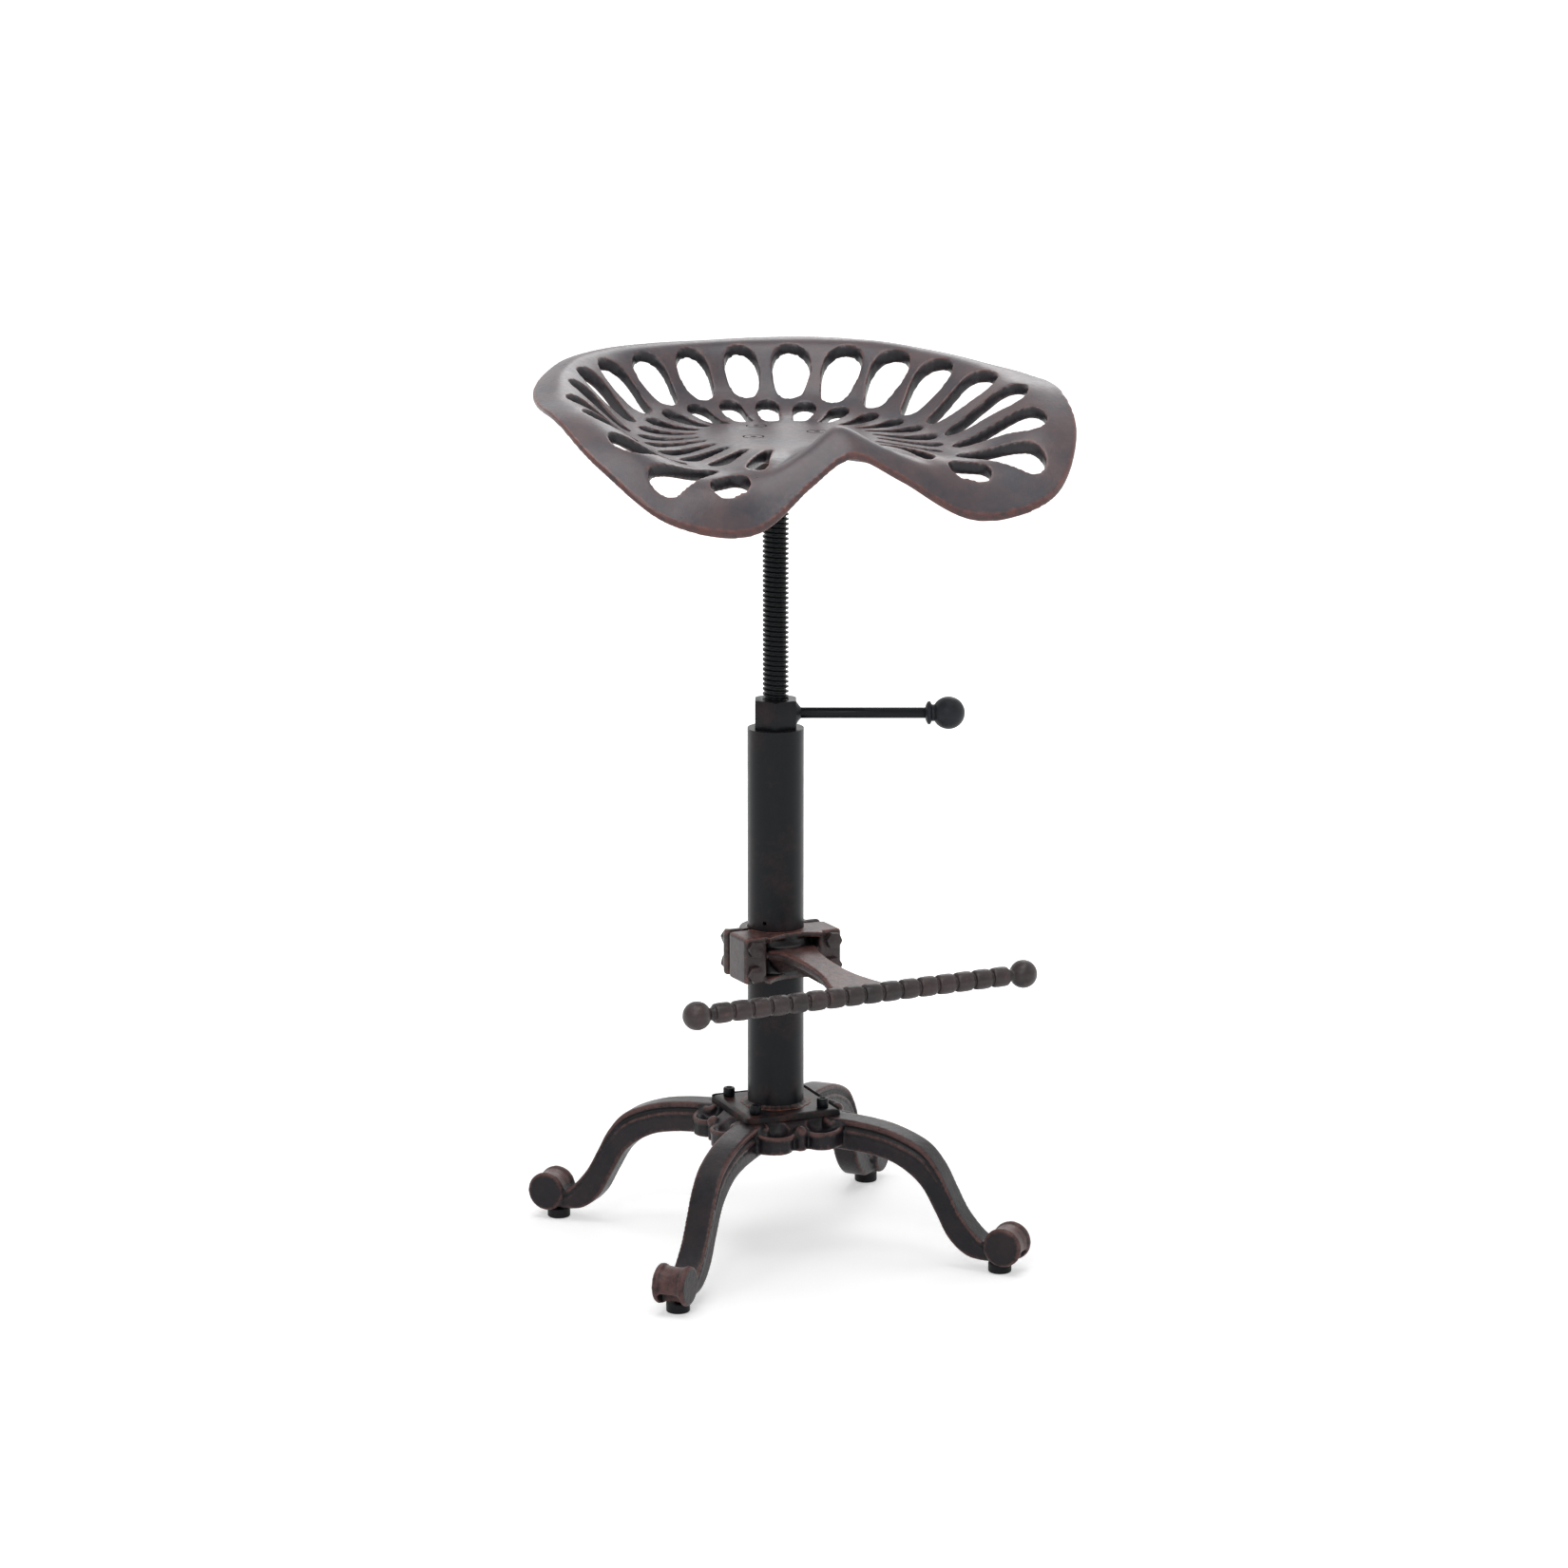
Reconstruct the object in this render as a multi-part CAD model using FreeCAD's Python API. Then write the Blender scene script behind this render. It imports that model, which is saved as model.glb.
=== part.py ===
"""Tractor seat stool: pierced cast seat on a screw spindle, tube column with a clamped footrest, four scroll legs.

Millimetres, +Z up. The origin is the point of the floor under the column axis. The front of the seat and the
footrest bar point to -Y, and the four legs stand on the diagonals.
"""
import os
from math import acos, atan2, cos, degrees, hypot, pi, radians, sin, sqrt, tan

import FreeCAD
import Part

V = FreeCAD.Vector
UP = V(0, 0, 1)

# Glides under the scroll feet
glide_circle = 208.0
glide_radius = 10.0
glide_height = 8.0
glide_stem_radius = 3.0
glide_stem_length = 12.0

# Legs, in a side view: distance out from the column axis and height above the floor
leg_count = 4
leg_web_width = 21.0
leg_rail_width = 24.0
leg_rail_depth = 8.0
leg_top_line = [(44, 122.2), (60, 122.2), (85, 120.8), (112, 116.0), (139, 104.5), (154.5, 87.5), (164.5, 69.0),
                (175.5, 49.0), (191, 31.5), (206, 23.5)]
leg_under_line = [(44, 95.0), (64, 94.5), (92, 92.5), (116, 86.5), (138, 71.0), (152, 48.5), (164, 27.0),
                  (180, 13.5), (197, 10.5), (210, 12.0)]
scroll_out = 214.5
scroll_radius = 17.0
scroll_waist_radius = 14.5
scroll_width = 29.0
scroll_eye_radius = 6.0
scroll_eye_depth = 1.2

# Hub of the base casting and its scroll-edged skirts
hub_top = 122.0
hub_under = 99.0
hub_half = 40.0
hub_recess_radius = 31.0
hub_recess_depth = 12.0
skirt_edge_height = 110.0
skirt_volute_x = 25.0
skirt_volute_y = 54.0
skirt_volute_radius = 13.5
skirt_bud_radius = 6.0
skirt_bud_y = 56.0

# Column: square flange plate welded to a tube, threaded bush pressed into the top
plate_half = 44.0
plate_corner_radius = 6.0
plate_thickness = 5.6
plate_screw_offset = 31.0
plate_screw_radius = 3.0
plate_screw_clearance = 0.3
plate_screw_head_radius = 5.0
plate_screw_head_height = 8.0
plate_screw_length = 22.0
socket_radius = 2.5
socket_depth = 3.5
tube_radius = 24.15
tube_wall = 3.2
tube_length = 330.0
foot_weld_size = 4.0
bush_length = 30.0
tube_hole_radius = 1.8
tube_hole_above_clamp = 7.0
tube_hole_direction = 225.0

# Screw spindle that carries the seat
spindle_radius = 11.1
thread_pitch = 4.233
running_gap = 0.05
spindle_below_tube_top = 70.0
spindle_socket_radius = 4.0
spindle_socket_depth = 20.0
guide_ring_height = 14.0
guide_ring_gap = 0.1
stop_washer_radius = 16.0
stop_washer_thickness = 3.0
stop_screw_head_radius = 6.5
stop_screw_head_height = 5.3
stop_screw_length = 16.0

# Lock nut with its lever
nut_across_flats = 35.0
nut_height = 25.0
nut_chamfer = 2.0
lever_direction = -22.0
lever_height_on_nut = 14.5
lever_boss_radius = 6.5
lever_boss_length = 5.0
lever_radius = 4.0
lever_reach = 127.0
lever_tap_depth = 3.0
collar_radius = 10.2
collar_thickness = 5.0
ball_radius = 14.0
ball_centre_out = 147.0

# Footrest: two clamp halves round the column, the front one cast with the arm and the beaded bar
footrest_turn = 4.9
clamp_centre_height = 264.0
clamp_height = 40.0
clamp_half_width = 46.0
clamp_block_width = 21.0
clamp_front = 34.0
clamp_gap = 4.5
clamp_bore_gap = 0.3
clamp_web = 4.0
clamp_hug_wall = 6.0
clamp_ear_thickness = 8.0
clamp_shell_wall = 7.0
clamp_corner_radius = 4.0
clamp_bolt_x = 37.0
clamp_bolt_rise = 11.0
clamp_bolt_radius = 4.0
clamp_bolt_clearance = 0.3
clamp_bolt_head_flats = 13.0
clamp_bolt_head_height = 5.3
clamp_nut_height = 6.5
clamp_nut_stand_out = 3.0
arm_top_drop_at_root = 5.0
arm_thickness = 9.0
arm_root_width = 46.0
arm_waist_width = 27.0
arm_end_width = 54.0
arm_belly = 5.0
bar_out = 160.0
bar_height = 260.0
bar_bead_count = 16
bar_bead_pitch = 17.4
bar_radius = 8.0
bar_groove_radius = 6.2
bar_ball_radius = 12.0
bar_ball_centre = 153.5
bar_neck_radius = 5.2

# Seat casting
seat_plate_height = 712.0
seat_thickness = 9.0
seat_facing_depth = 0.8
seat_facing_gap = 1.5
seat_rim_thickness = 4.4
seat_rim_band = 16.0
seat_blend = 15.0
cutter_reach = 120.0
dish_centre_y = -25.0
station_step = 15.0
# Half of the symmetric dish, every 15 degrees from the front round to the back, about the dish centre:
# rim radius, rim height, shoulder radius, shoulder height, waist radius, waist height, wall
dish_stations = [
    (143, 5, 117.7, 23, 75, 5, 9.5),
    (158, -15, 134.5, 5.5, 100, 2.5, 10.5),
    (197, -47, 162, -12.5, 144, -4.5, 11),
    (236, -35, 195.5, -12, 148, -7, 9),
    (243, 5, 217, 15.5, 137, -5.5, 8.7),
    (231, 34, 204, 36.5, 128, -3.5, 8.7),
    (220, 40, 197, 41.5, 127.3, 0.5, 9.5),
    (211, 43.5, 191.5, 48.5, 128.5, 3.3, 9.2),
    (205, 49, 190.5, 52.5, 131, 6.5, 9.8),
    (203, 54, 190, 56, 138, 11, 9.3),
    (198, 57, 186, 55.5, 143, 15, 7.8),
    (194.5, 57, 179, 55, 146, 18, 7.4),
    (195, 56, 177.7, 55, 146.6, 19, 7.4),
]
dish_flat_radius = 60.0
surface_grid = 12.0
surface_margin = 12.0
# Inner slots, from the back one to the front one: direction of the inner end, inner end radius, outer end radius,
# half widths at the two ends, direction of the outer end
inner_slots = [
    (0, 90, 137, 7, 10, 0),
    (14.4, 88, 136, 6.5, 9.8, 14.4),
    (29.2, 85, 133, 5.5, 9.8, 29.2),
    (43.8, 82, 129, 4.5, 9, 43.8),
    (58.6, 78, 125.5, 4, 8.5, 58.6),
    (73.4, 74, 124.5, 3.5, 8.5, 73.4),
    (88, 72, 125, 3.5, 8.5, 88),
    (102.8, 73, 127.5, 3.5, 9, 102.8),
    (117.5, 76, 131, 3.5, 9.5, 117.5),
    (132.5, 79, 137, 3.5, 9.5, 132.5),
    (148, 85, 148, 3.5, 8.5, 148),
]
# Outer slots, from the back, in the same order
outer_slots = [
    (7.9, 139, 175, 12.5, 15, 8),
    (23.1, 137.5, 178.5, 12.5, 16.5, 23.4),
    (38.6, 134.5, 180.5, 12, 17.5, 39),
    (54.8, 132, 181, 10.5, 18.5, 54.6),
    (71.5, 131, 182, 9.5, 18.5, 71),
    (87.5, 131.5, 193, 9.5, 18, 88.5),
    (104.5, 134.5, 204, 9.5, 17, 104.8),
    (120.5, 140, 217.5, 9, 17, 118.5),
    (134.2, 152, 224, 7.5, 13.5, 130.3),
]
front_hole_x = 105.7
front_hole_y = -164.5
front_hole_half_length = 17.5
front_hole_half_width = 10.0
front_hole_turn = -16.0
seat_screw_circle = 35.0
seat_screw_radius = 3.9
seat_screw_clearance = 0.3
seat_screw_head_radius = 7.8
seat_screw_head_depth = 4.0
seat_screw_first = 96.0
mount_flange_radius = 52.0
mount_flange_thickness = 6.0
mount_hub_radius = 18.0
mount_hub_height = 20.0

# Worked-out heights
plate_top = hub_top + plate_thickness
tube_top = plate_top + tube_length
bush_bottom = tube_top - bush_length
nut_top = tube_top + nut_height
lever_z = tube_top + lever_height_on_nut
seat_under = seat_plate_height - seat_thickness + seat_facing_depth
flange_under = seat_under - mount_flange_thickness
mount_hub_under = flange_under - mount_hub_height
spindle_top = flange_under
spindle_bottom = tube_top - spindle_below_tube_top
tube_bore = tube_radius - tube_wall


def cylinder(radius, low, high, x=0.0, y=0.0):
    return Part.makeCylinder(radius, high - low, V(x, y, low), UP)


def rod(radius, start, direction, length):
    return Part.makeCylinder(radius, length, start, direction)


def block(x0, x1, y0, y1, z0, z1):
    return Part.makeBox(x1 - x0, y1 - y0, z1 - z0, V(x0, y0, z0))


def turned(shape, angle):
    copy = shape.copy()
    copy.rotate(V(0, 0, 0), UP, angle)
    return copy


def hexagon(flats, origin, direction, length, corner_at=V(1, 0, 0)):
    """A hexagonal prism with one corner towards corner_at."""
    side = direction.cross(corner_at).normalize()
    out = side.cross(direction).normalize()
    reach = flats / sqrt(3)
    corners = [origin + out * (reach * cos(k * pi / 3)) + side * (reach * sin(k * pi / 3)) for k in range(6)]
    return Part.Face(Part.makePolygon(corners + corners[:1])).extrude(direction * length)


def spline(points, closed=False):
    curve = Part.BSplineCurve()
    curve.interpolate(Points=points, PeriodicFlag=closed)
    return curve.toShape()


def export(name, shape):
    os.makedirs("parts", exist_ok=True)
    shape.exportStep("parts/" + name + ".step")


# Base casting

def shifted_line(line, shift):
    """The same side-view line moved square to itself, down for a positive shift."""
    moved = []
    for index, (out, height) in enumerate(line):
        before = line[max(index - 1, 0)]
        after = line[min(index + 1, len(line) - 1)]
        run = after[0] - before[0]
        rise = after[1] - before[1]
        size = hypot(run, rise)
        moved.append((out + shift * rise / size, height - shift * run / size))
    return moved


def leg_slice(upper, lower, width):
    """A plate of the leg between two side-view lines, as wide as stated, along +X."""
    high = [V(out, -width / 2, height) for out, height in upper]
    low = [V(out, -width / 2, height) for out, height in lower]
    edges = [spline(high), Part.makeLine(high[-1], low[-1]), spline(low), Part.makeLine(low[0], high[0])]
    return Part.Face(Part.Wire(Part.__sortEdges__(edges))).extrude(V(0, width, 0))


def scroll_foot():
    """The roll at the toe: a waisted spool across the leg with a sunk eye at each end, and a flat pad for the glide."""
    half = scroll_width / 2
    centre_height = glide_height + scroll_radius
    waist = Part.Arc(V(scroll_radius, 0, half), V(scroll_waist_radius, 0, 0), V(scroll_radius, 0, -half)).toShape()
    edges = [waist, Part.makeLine(V(scroll_radius, 0, -half), V(0, 0, -half)),
             Part.makeLine(V(0, 0, -half), V(0, 0, half)), Part.makeLine(V(0, 0, half), V(scroll_radius, 0, half))]
    spool = Part.Face(Part.Wire(edges)).revolve(V(0, 0, 0), UP, 360)
    for side in (-1, 1):
        eye = Part.makeCylinder(scroll_eye_radius, scroll_eye_depth, V(0, 0, side * half), UP * -side)
        spool = spool.cut(eye)
    spool.rotate(V(0, 0, 0), V(1, 0, 0), 90)
    spool.translate(V(scroll_out, 0, centre_height))
    pad = cylinder(glide_radius, glide_height, glide_height + scroll_radius / 2, glide_circle)
    return spool.fuse(pad)


def leg():
    web = leg_slice(leg_top_line, leg_under_line, leg_web_width)
    top_rail = leg_slice(leg_top_line, shifted_line(leg_top_line, leg_rail_depth), leg_rail_width)
    under_rail = leg_slice(shifted_line(leg_under_line, -leg_rail_depth), leg_under_line, leg_rail_width - 2)
    whole = web.fuse([top_rail, under_rail, scroll_foot()])
    stem_hole = cylinder(glide_stem_radius, glide_height, glide_height + glide_stem_length, glide_circle)
    return whole.cut(stem_hole)


def skirt():
    """The front skirt: two volutes and a bud between them, falling away from the plate."""
    reach = skirt_volute_y
    pieces = [block(-skirt_volute_x, skirt_volute_x, -reach, -hub_half + 4, hub_under, hub_top)]
    for side in (-1, 1):
        pieces.append(cylinder(skirt_volute_radius, hub_under, hub_top, side * skirt_volute_x, -reach))
    pieces.append(cylinder(skirt_bud_radius, hub_under, hub_top, 0, -skirt_bud_y))
    body = pieces[0].fuse(pieces[1:])
    for side in (-1, 1):
        notch_x = side * (skirt_bud_radius + skirt_volute_x - skirt_volute_radius) / 2
        body = body.cut(cylinder(3.2, hub_under - 1, hub_top + 1, notch_x, -reach - 2.2))
    far = reach + 2 * skirt_volute_radius
    slope = (hub_top - skirt_edge_height) / (reach + skirt_volute_radius - plate_half)
    fall = [V(-90, -plate_half + 2, hub_top - 0.5), V(-90, -far, hub_top - 0.5 - slope * (far - plate_half + 2)),
            V(-90, -far, hub_top + 9), V(-90, -plate_half + 2, hub_top + 9)]
    return body.cut(Part.Face(Part.makePolygon(fall + fall[:1])).extrude(V(180, 0, 0)))


def plate_screw_places():
    return [(sx * plate_screw_offset, sy * plate_screw_offset) for sx in (-1, 1) for sy in (-1, 1)]


def base_casting():
    body = block(-hub_half, hub_half, -hub_half, hub_half, hub_under, hub_top)
    quarter = 360.0 / leg_count
    arms = [turned(leg(), 45 + quarter * k) for k in range(leg_count)]
    skirts = [turned(skirt(), quarter * k) for k in range(leg_count)]
    body = body.fuse(arms + skirts)
    cuts = [rounded_plate(plate_half + 0.4, plate_corner_radius, hub_top, hub_top + 30),
            cylinder(hub_recess_radius, hub_under - 1, hub_under + hub_recess_depth)]
    for x, y in plate_screw_places():
        cuts.append(cylinder(plate_screw_radius, plate_top - plate_screw_length, hub_top, x, y))
    return body.cut(cuts).removeSplitter()


def rounded_plate(half, corner, low, high):
    plate = block(-half, half, -half, half, low, high)
    upright = [e for e in plate.Edges if abs(e.tangentAt(e.FirstParameter).z) > 0.9]
    return plate.makeFillet(corner, upright)


def glide():
    disc = cylinder(glide_radius, 0, glide_height)
    foot = [e for e in disc.Edges if e.Closed and e.BoundBox.ZMax < 0.01]
    return disc.makeFillet(1.5, foot).fuse(
        cylinder(glide_stem_radius, glide_height, glide_height + glide_stem_length)).removeSplitter()


# Column

def flange_plate():
    plate = rounded_plate(plate_half, plate_corner_radius, hub_top, plate_top)
    holes = [cylinder(plate_screw_radius + plate_screw_clearance, hub_top - 1, plate_top + 1, x, y)
             for x, y in plate_screw_places()]
    return plate.cut(holes)


def plate_screw(x, y):
    head_top = plate_top + plate_screw_head_height
    body = cylinder(plate_screw_head_radius, plate_top, head_top, x, y)
    body = body.fuse(cylinder(plate_screw_radius, plate_top - plate_screw_length, plate_top, x, y))
    key = hexagon(2 * socket_radius, V(x, y, head_top - socket_depth), UP, socket_depth + 1)
    return body.cut(key)


def column_tube():
    wall = cylinder(tube_radius, plate_top, tube_top).cut(cylinder(tube_bore, plate_top - 1, tube_top + 1))
    height = clamp_centre_height + clamp_height / 2 + tube_hole_above_clamp
    direction = V(cos(radians(tube_hole_direction)), sin(radians(tube_hole_direction)), 0)
    return wall.cut(rod(tube_hole_radius, direction * (tube_bore - 2) + V(0, 0, height), direction, tube_wall + 4))


def foot_weld():
    """The fillet weld round the foot of the tube."""
    corners = [V(tube_radius, 0, plate_top), V(tube_radius + foot_weld_size, 0, plate_top),
               V(tube_radius, 0, plate_top + foot_weld_size)]
    return Part.Face(Part.makePolygon(corners + corners[:1])).revolve(V(0, 0, 0), UP, 360)


def thread_bush():
    return cylinder(tube_bore, bush_bottom, tube_top).cut(
        cylinder(spindle_radius + running_gap, bush_bottom - 1, tube_top + 1))


# Spindle and seat mount

def spindle():
    body = cylinder(spindle_radius, spindle_bottom, spindle_top)
    rims = [e for e in body.Edges if e.Closed and e.BoundBox.ZMax < spindle_bottom + 0.01]
    body = body.makeChamfer(1.2, rims)
    return body.cut(cylinder(spindle_socket_radius, spindle_bottom - 1, spindle_bottom + spindle_socket_depth))


def guide_ring():
    """The ring that centres the spindle's lower end in the tube and slides without turning."""
    low = spindle_bottom + 2.0
    return cylinder(tube_bore - guide_ring_gap, low, low + guide_ring_height).cut(
        cylinder(spindle_radius + running_gap, low - 1, low + guide_ring_height + 1))


def stop_washer():
    low = spindle_bottom - stop_washer_thickness
    return cylinder(stop_washer_radius, low, spindle_bottom).cut(
        cylinder(spindle_socket_radius + 0.2, low - 1, spindle_bottom + 1))


def stop_screw():
    washer_under = spindle_bottom - stop_washer_thickness
    head = hexagon(2 * stop_screw_head_radius, V(0, 0, washer_under), V(0, 0, -1), stop_screw_head_height)
    return head.fuse(cylinder(spindle_socket_radius, washer_under, washer_under + stop_screw_length))


def seat_screw_places():
    return [(seat_screw_circle * cos(radians(seat_screw_first + 120 * k)),
             seat_screw_circle * sin(radians(seat_screw_first + 120 * k))) for k in range(3)]


def mount_flange():
    body = cylinder(mount_flange_radius, flange_under, seat_under)
    outer = [e for e in body.Edges if e.Closed and e.BoundBox.ZMax < flange_under + 0.01]
    body = body.makeFillet(2.5, outer)
    hub = Part.makeCone(mount_hub_radius, mount_hub_radius + 5, mount_hub_height, V(0, 0, mount_hub_under), UP)
    body = body.fuse(hub)
    cuts = [cylinder(spindle_radius, mount_hub_under - 1, flange_under)]
    cuts += [cylinder(seat_screw_radius, flange_under - 1, seat_under + 1, x, y) for x, y in seat_screw_places()]
    return body.cut(cuts).removeSplitter()


def seat_screw(x, y):
    head_under = seat_plate_height - seat_screw_head_depth
    head = Part.makeCone(seat_screw_radius, seat_screw_head_radius, seat_screw_head_depth, V(x, y, head_under), UP)
    shank = cylinder(seat_screw_radius, flange_under, head_under, x, y)
    key = hexagon(2 * socket_radius, V(x, y, seat_plate_height - 2.5), UP, 4)
    return head.fuse(shank).cut(key)


# Seat casting

def between_stations(column, angle):
    """A station value at any angle, smoothly between the stations and mirrored about the middle plane."""
    values = [row[column] for row in dish_stations]
    last = len(values) - 1
    turn = abs((angle + 180.0) % 360.0 - 180.0) / station_step
    index = min(int(turn), last - 1)
    part = turn - index
    before, here, there, after = (values[abs(k) if k <= last else 2 * last - k] for k in range(index - 1, index + 3))
    return 0.5 * (2 * here + (there - before) * part + (2 * before - 5 * here + 4 * there - after) * part ** 2
                  + (3 * here - before - 3 * there + after) * part ** 3)


def dish_height(x, y):
    """Height of the seat's upper face over its flat middle."""
    across = x
    along = y - dish_centre_y
    radius = hypot(across, along)
    if radius <= dish_flat_radius:
        return 0.0
    rim_r, rim_z, shoulder_r, shoulder_z, waist_r, waist_z = (
        between_stations(k, degrees(atan2(across, -along))) for k in range(6))
    knots = [dish_flat_radius, waist_r, shoulder_r, rim_r]
    heights = [0.0, waist_z, shoulder_z, rim_z]
    steps = [knots[k + 1] - knots[k] for k in range(3)]
    slopes = [(heights[k + 1] - heights[k]) / steps[k] for k in range(3)]
    tilts = [0.0]
    for k in (1, 2):
        tilts.append((slopes[k - 1] * steps[k] + slopes[k] * steps[k - 1]) / (steps[k - 1] + steps[k]))
    tilts.append(1.3 * slopes[2] - 0.3 * tilts[2])
    if radius >= rim_r:
        return rim_z + (radius - rim_r) * tilts[3]
    k = 0 if radius <= waist_r else 1 if radius <= shoulder_r else 2
    part = (radius - knots[k]) / steps[k]
    return ((2 * part ** 3 - 3 * part ** 2 + 1) * heights[k] + (part ** 3 - 2 * part ** 2 + part) * steps[k] * tilts[k]
            + (3 * part ** 2 - 2 * part ** 3) * heights[k + 1] + (part ** 3 - part ** 2) * steps[k] * tilts[k + 1])


def wall_depth(x, y):
    """Upright thickness that leaves the stated wall square to the face, thinner near the rim."""
    step = 1.0
    slope_x = (dish_height(x + step, y) - dish_height(x - step, y)) / (2 * step)
    slope_y = (dish_height(x, y + step) - dish_height(x, y - step)) / (2 * step)
    radius = hypot(x, y - dish_centre_y)
    rim_r = between_stations(0, degrees(atan2(x, dish_centre_y - y)))
    share = min(max(1 - (rim_r - radius) / seat_rim_band, 0.0), 1.0)
    away = min(max((radius - dish_flat_radius) / seat_blend, 0.0), 1.0)
    wall = seat_thickness + (between_stations(6, degrees(atan2(x, dish_centre_y - y))) - seat_thickness) * away
    tilt = sqrt(1 + slope_x ** 2 + slope_y ** 2)
    return wall * min(tilt, 1.9) * (1 - share) + seat_rim_thickness * min(tilt, 1.25) * share


def rim_point(angle):
    radius = between_stations(0, angle)
    return V(radius * sin(radians(angle)), dish_centre_y - radius * cos(radians(angle)), 0)


def dish_blank():
    """The unpierced casting: a slab between two free-form faces."""
    rim = [rim_point(5.0 * k) for k in range(72)]
    x_reach = max(p.x for p in rim) + surface_margin
    y_low = min(p.y for p in rim) - surface_margin
    y_high = max(p.y for p in rim) + surface_margin
    columns = 2 * int(x_reach / surface_grid) + 1
    rows = int((y_high - y_low) / surface_grid) + 1
    faces = []
    for depth in (lambda x, y: 0.0, wall_depth):
        net = []
        for i in range(columns + 1):
            x = x_reach * (2.0 * i / columns - 1)
            ys = [y_low + (y_high - y_low) * j / rows for j in range(rows + 1)]
            net.append([V(x, y, seat_plate_height + dish_height(x, y) - depth(x, y)) for y in ys])
        surface = Part.BSplineSurface()
        surface.interpolate(net)
        faces.append(surface.toShape())
    top, under = faces
    sides = [Part.makeRuledSurface(a, b) for a, b in zip(top.Edges, under.Edges)]
    shell = Part.Shell([top, under] + sides)
    shell.sewShape()
    slab = Part.Solid(shell)
    outline = Part.Face(Part.Wire([spline([p + V(0, 0, seat_plate_height - cutter_reach) for p in rim], closed=True)]))
    return slab.common(outline.extrude(V(0, 0, 2 * cutter_reach)))


def slot_prism(centre_a, centre_b, half_a, half_b):
    """An upright cutter: two round ends of their own size joined by their tangents."""
    run = centre_b - centre_a
    base = atan2(run.y, run.x)
    lean = acos((half_a - half_b) / run.Length)

    def at(centre, half, angle):
        return centre + V(half * cos(angle), half * sin(angle), 0)

    a_left, a_right = at(centre_a, half_a, base + lean), at(centre_a, half_a, base - lean)
    b_left, b_right = at(centre_b, half_b, base + lean), at(centre_b, half_b, base - lean)
    edges = [Part.Arc(a_left, at(centre_a, half_a, base + pi), a_right).toShape(), Part.makeLine(a_right, b_right),
             Part.Arc(b_right, at(centre_b, half_b, base), b_left).toShape(), Part.makeLine(b_left, a_left)]
    return Part.Face(Part.Wire(edges)).extrude(V(0, 0, 2 * cutter_reach))


def from_dish_centre(angle, radius):
    """A point at an angle from the back about the dish centre, low enough to start a cutter."""
    return V(radius * sin(radians(angle)), dish_centre_y + radius * cos(radians(angle)), seat_plate_height - cutter_reach)


def seat_slots():
    cutters = []
    for near, inner, outer, inner_half, outer_half, far in inner_slots + outer_slots:
        for side in (-1, 1) if near else (1,):
            cutters.append(slot_prism(from_dish_centre(side * near, inner + inner_half),
                                      from_dish_centre(side * far, outer - outer_half), inner_half, outer_half))
    for side in (-1, 1):
        reach = front_hole_half_length - front_hole_half_width
        lean = radians(front_hole_turn)
        middle = V(side * front_hole_x, front_hole_y, seat_plate_height - cutter_reach)
        step = V(side * reach * cos(lean), reach * sin(lean), 0)
        cutters.append(slot_prism(middle - step, middle + step, front_hole_half_width, front_hole_half_width))
    return cutters


def screw_pocket():
    """The cutter for one countersunk hole, running out above the face."""
    hole = seat_screw_radius + seat_screw_clearance
    sink_low = seat_plate_height - seat_screw_head_depth - seat_screw_clearance
    flare = (seat_screw_head_radius - seat_screw_radius) / seat_screw_head_depth
    sink_high = seat_plate_height + 3
    corners = [V(0, 0, seat_under - 3), V(hole, 0, seat_under - 3), V(hole, 0, sink_low),
               V(hole + flare * (sink_high - sink_low), 0, sink_high), V(0, 0, sink_high)]
    return Part.Face(Part.makePolygon(corners + corners[:1])).revolve(V(0, 0, 0), UP, 360)


def seat_casting():
    cuts = seat_slots()
    for x, y in seat_screw_places():
        pocket = screw_pocket()
        pocket.translate(V(x, y, 0))
        cuts.append(pocket)
    facing = cylinder(mount_flange_radius + seat_facing_gap, seat_under - 40, seat_under)
    return dish_blank().cut(cuts + [facing])


# Lock nut and lever

def along_lever(distance):
    angle = radians(lever_direction)
    return V(distance * cos(angle), distance * sin(angle), lever_z)


def lever_axis():
    return V(cos(radians(lever_direction)), sin(radians(lever_direction)), 0)


def lock_nut():
    corner = V(cos(radians(lever_direction + 30)), sin(radians(lever_direction + 30)), 0)
    body = hexagon(nut_across_flats, V(0, 0, tube_top), UP, nut_height, corner)
    reach = nut_across_flats / sqrt(3)
    shoulder = Part.makeCone(reach + nut_height, reach - nut_chamfer, nut_height, V(0, 0, tube_top), UP)
    body = body.common(shoulder.fuse(cylinder(reach + 1, tube_top, nut_top - nut_chamfer)))
    boss = rod(lever_boss_radius, along_lever(nut_across_flats / 2 - 3), lever_axis(), lever_boss_length + 3)
    body = body.fuse(boss)
    cuts = [cylinder(spindle_radius + running_gap, tube_top - 1, nut_top + 1),
            rod(lever_radius, along_lever(nut_across_flats / 2 + lever_boss_length - lever_tap_depth), lever_axis(), 20)]
    return body.cut(cuts)


def lever_rod():
    start = nut_across_flats / 2 + lever_boss_length - lever_tap_depth
    return rod(lever_radius, along_lever(start), lever_axis(), ball_centre_out - start)


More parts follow.
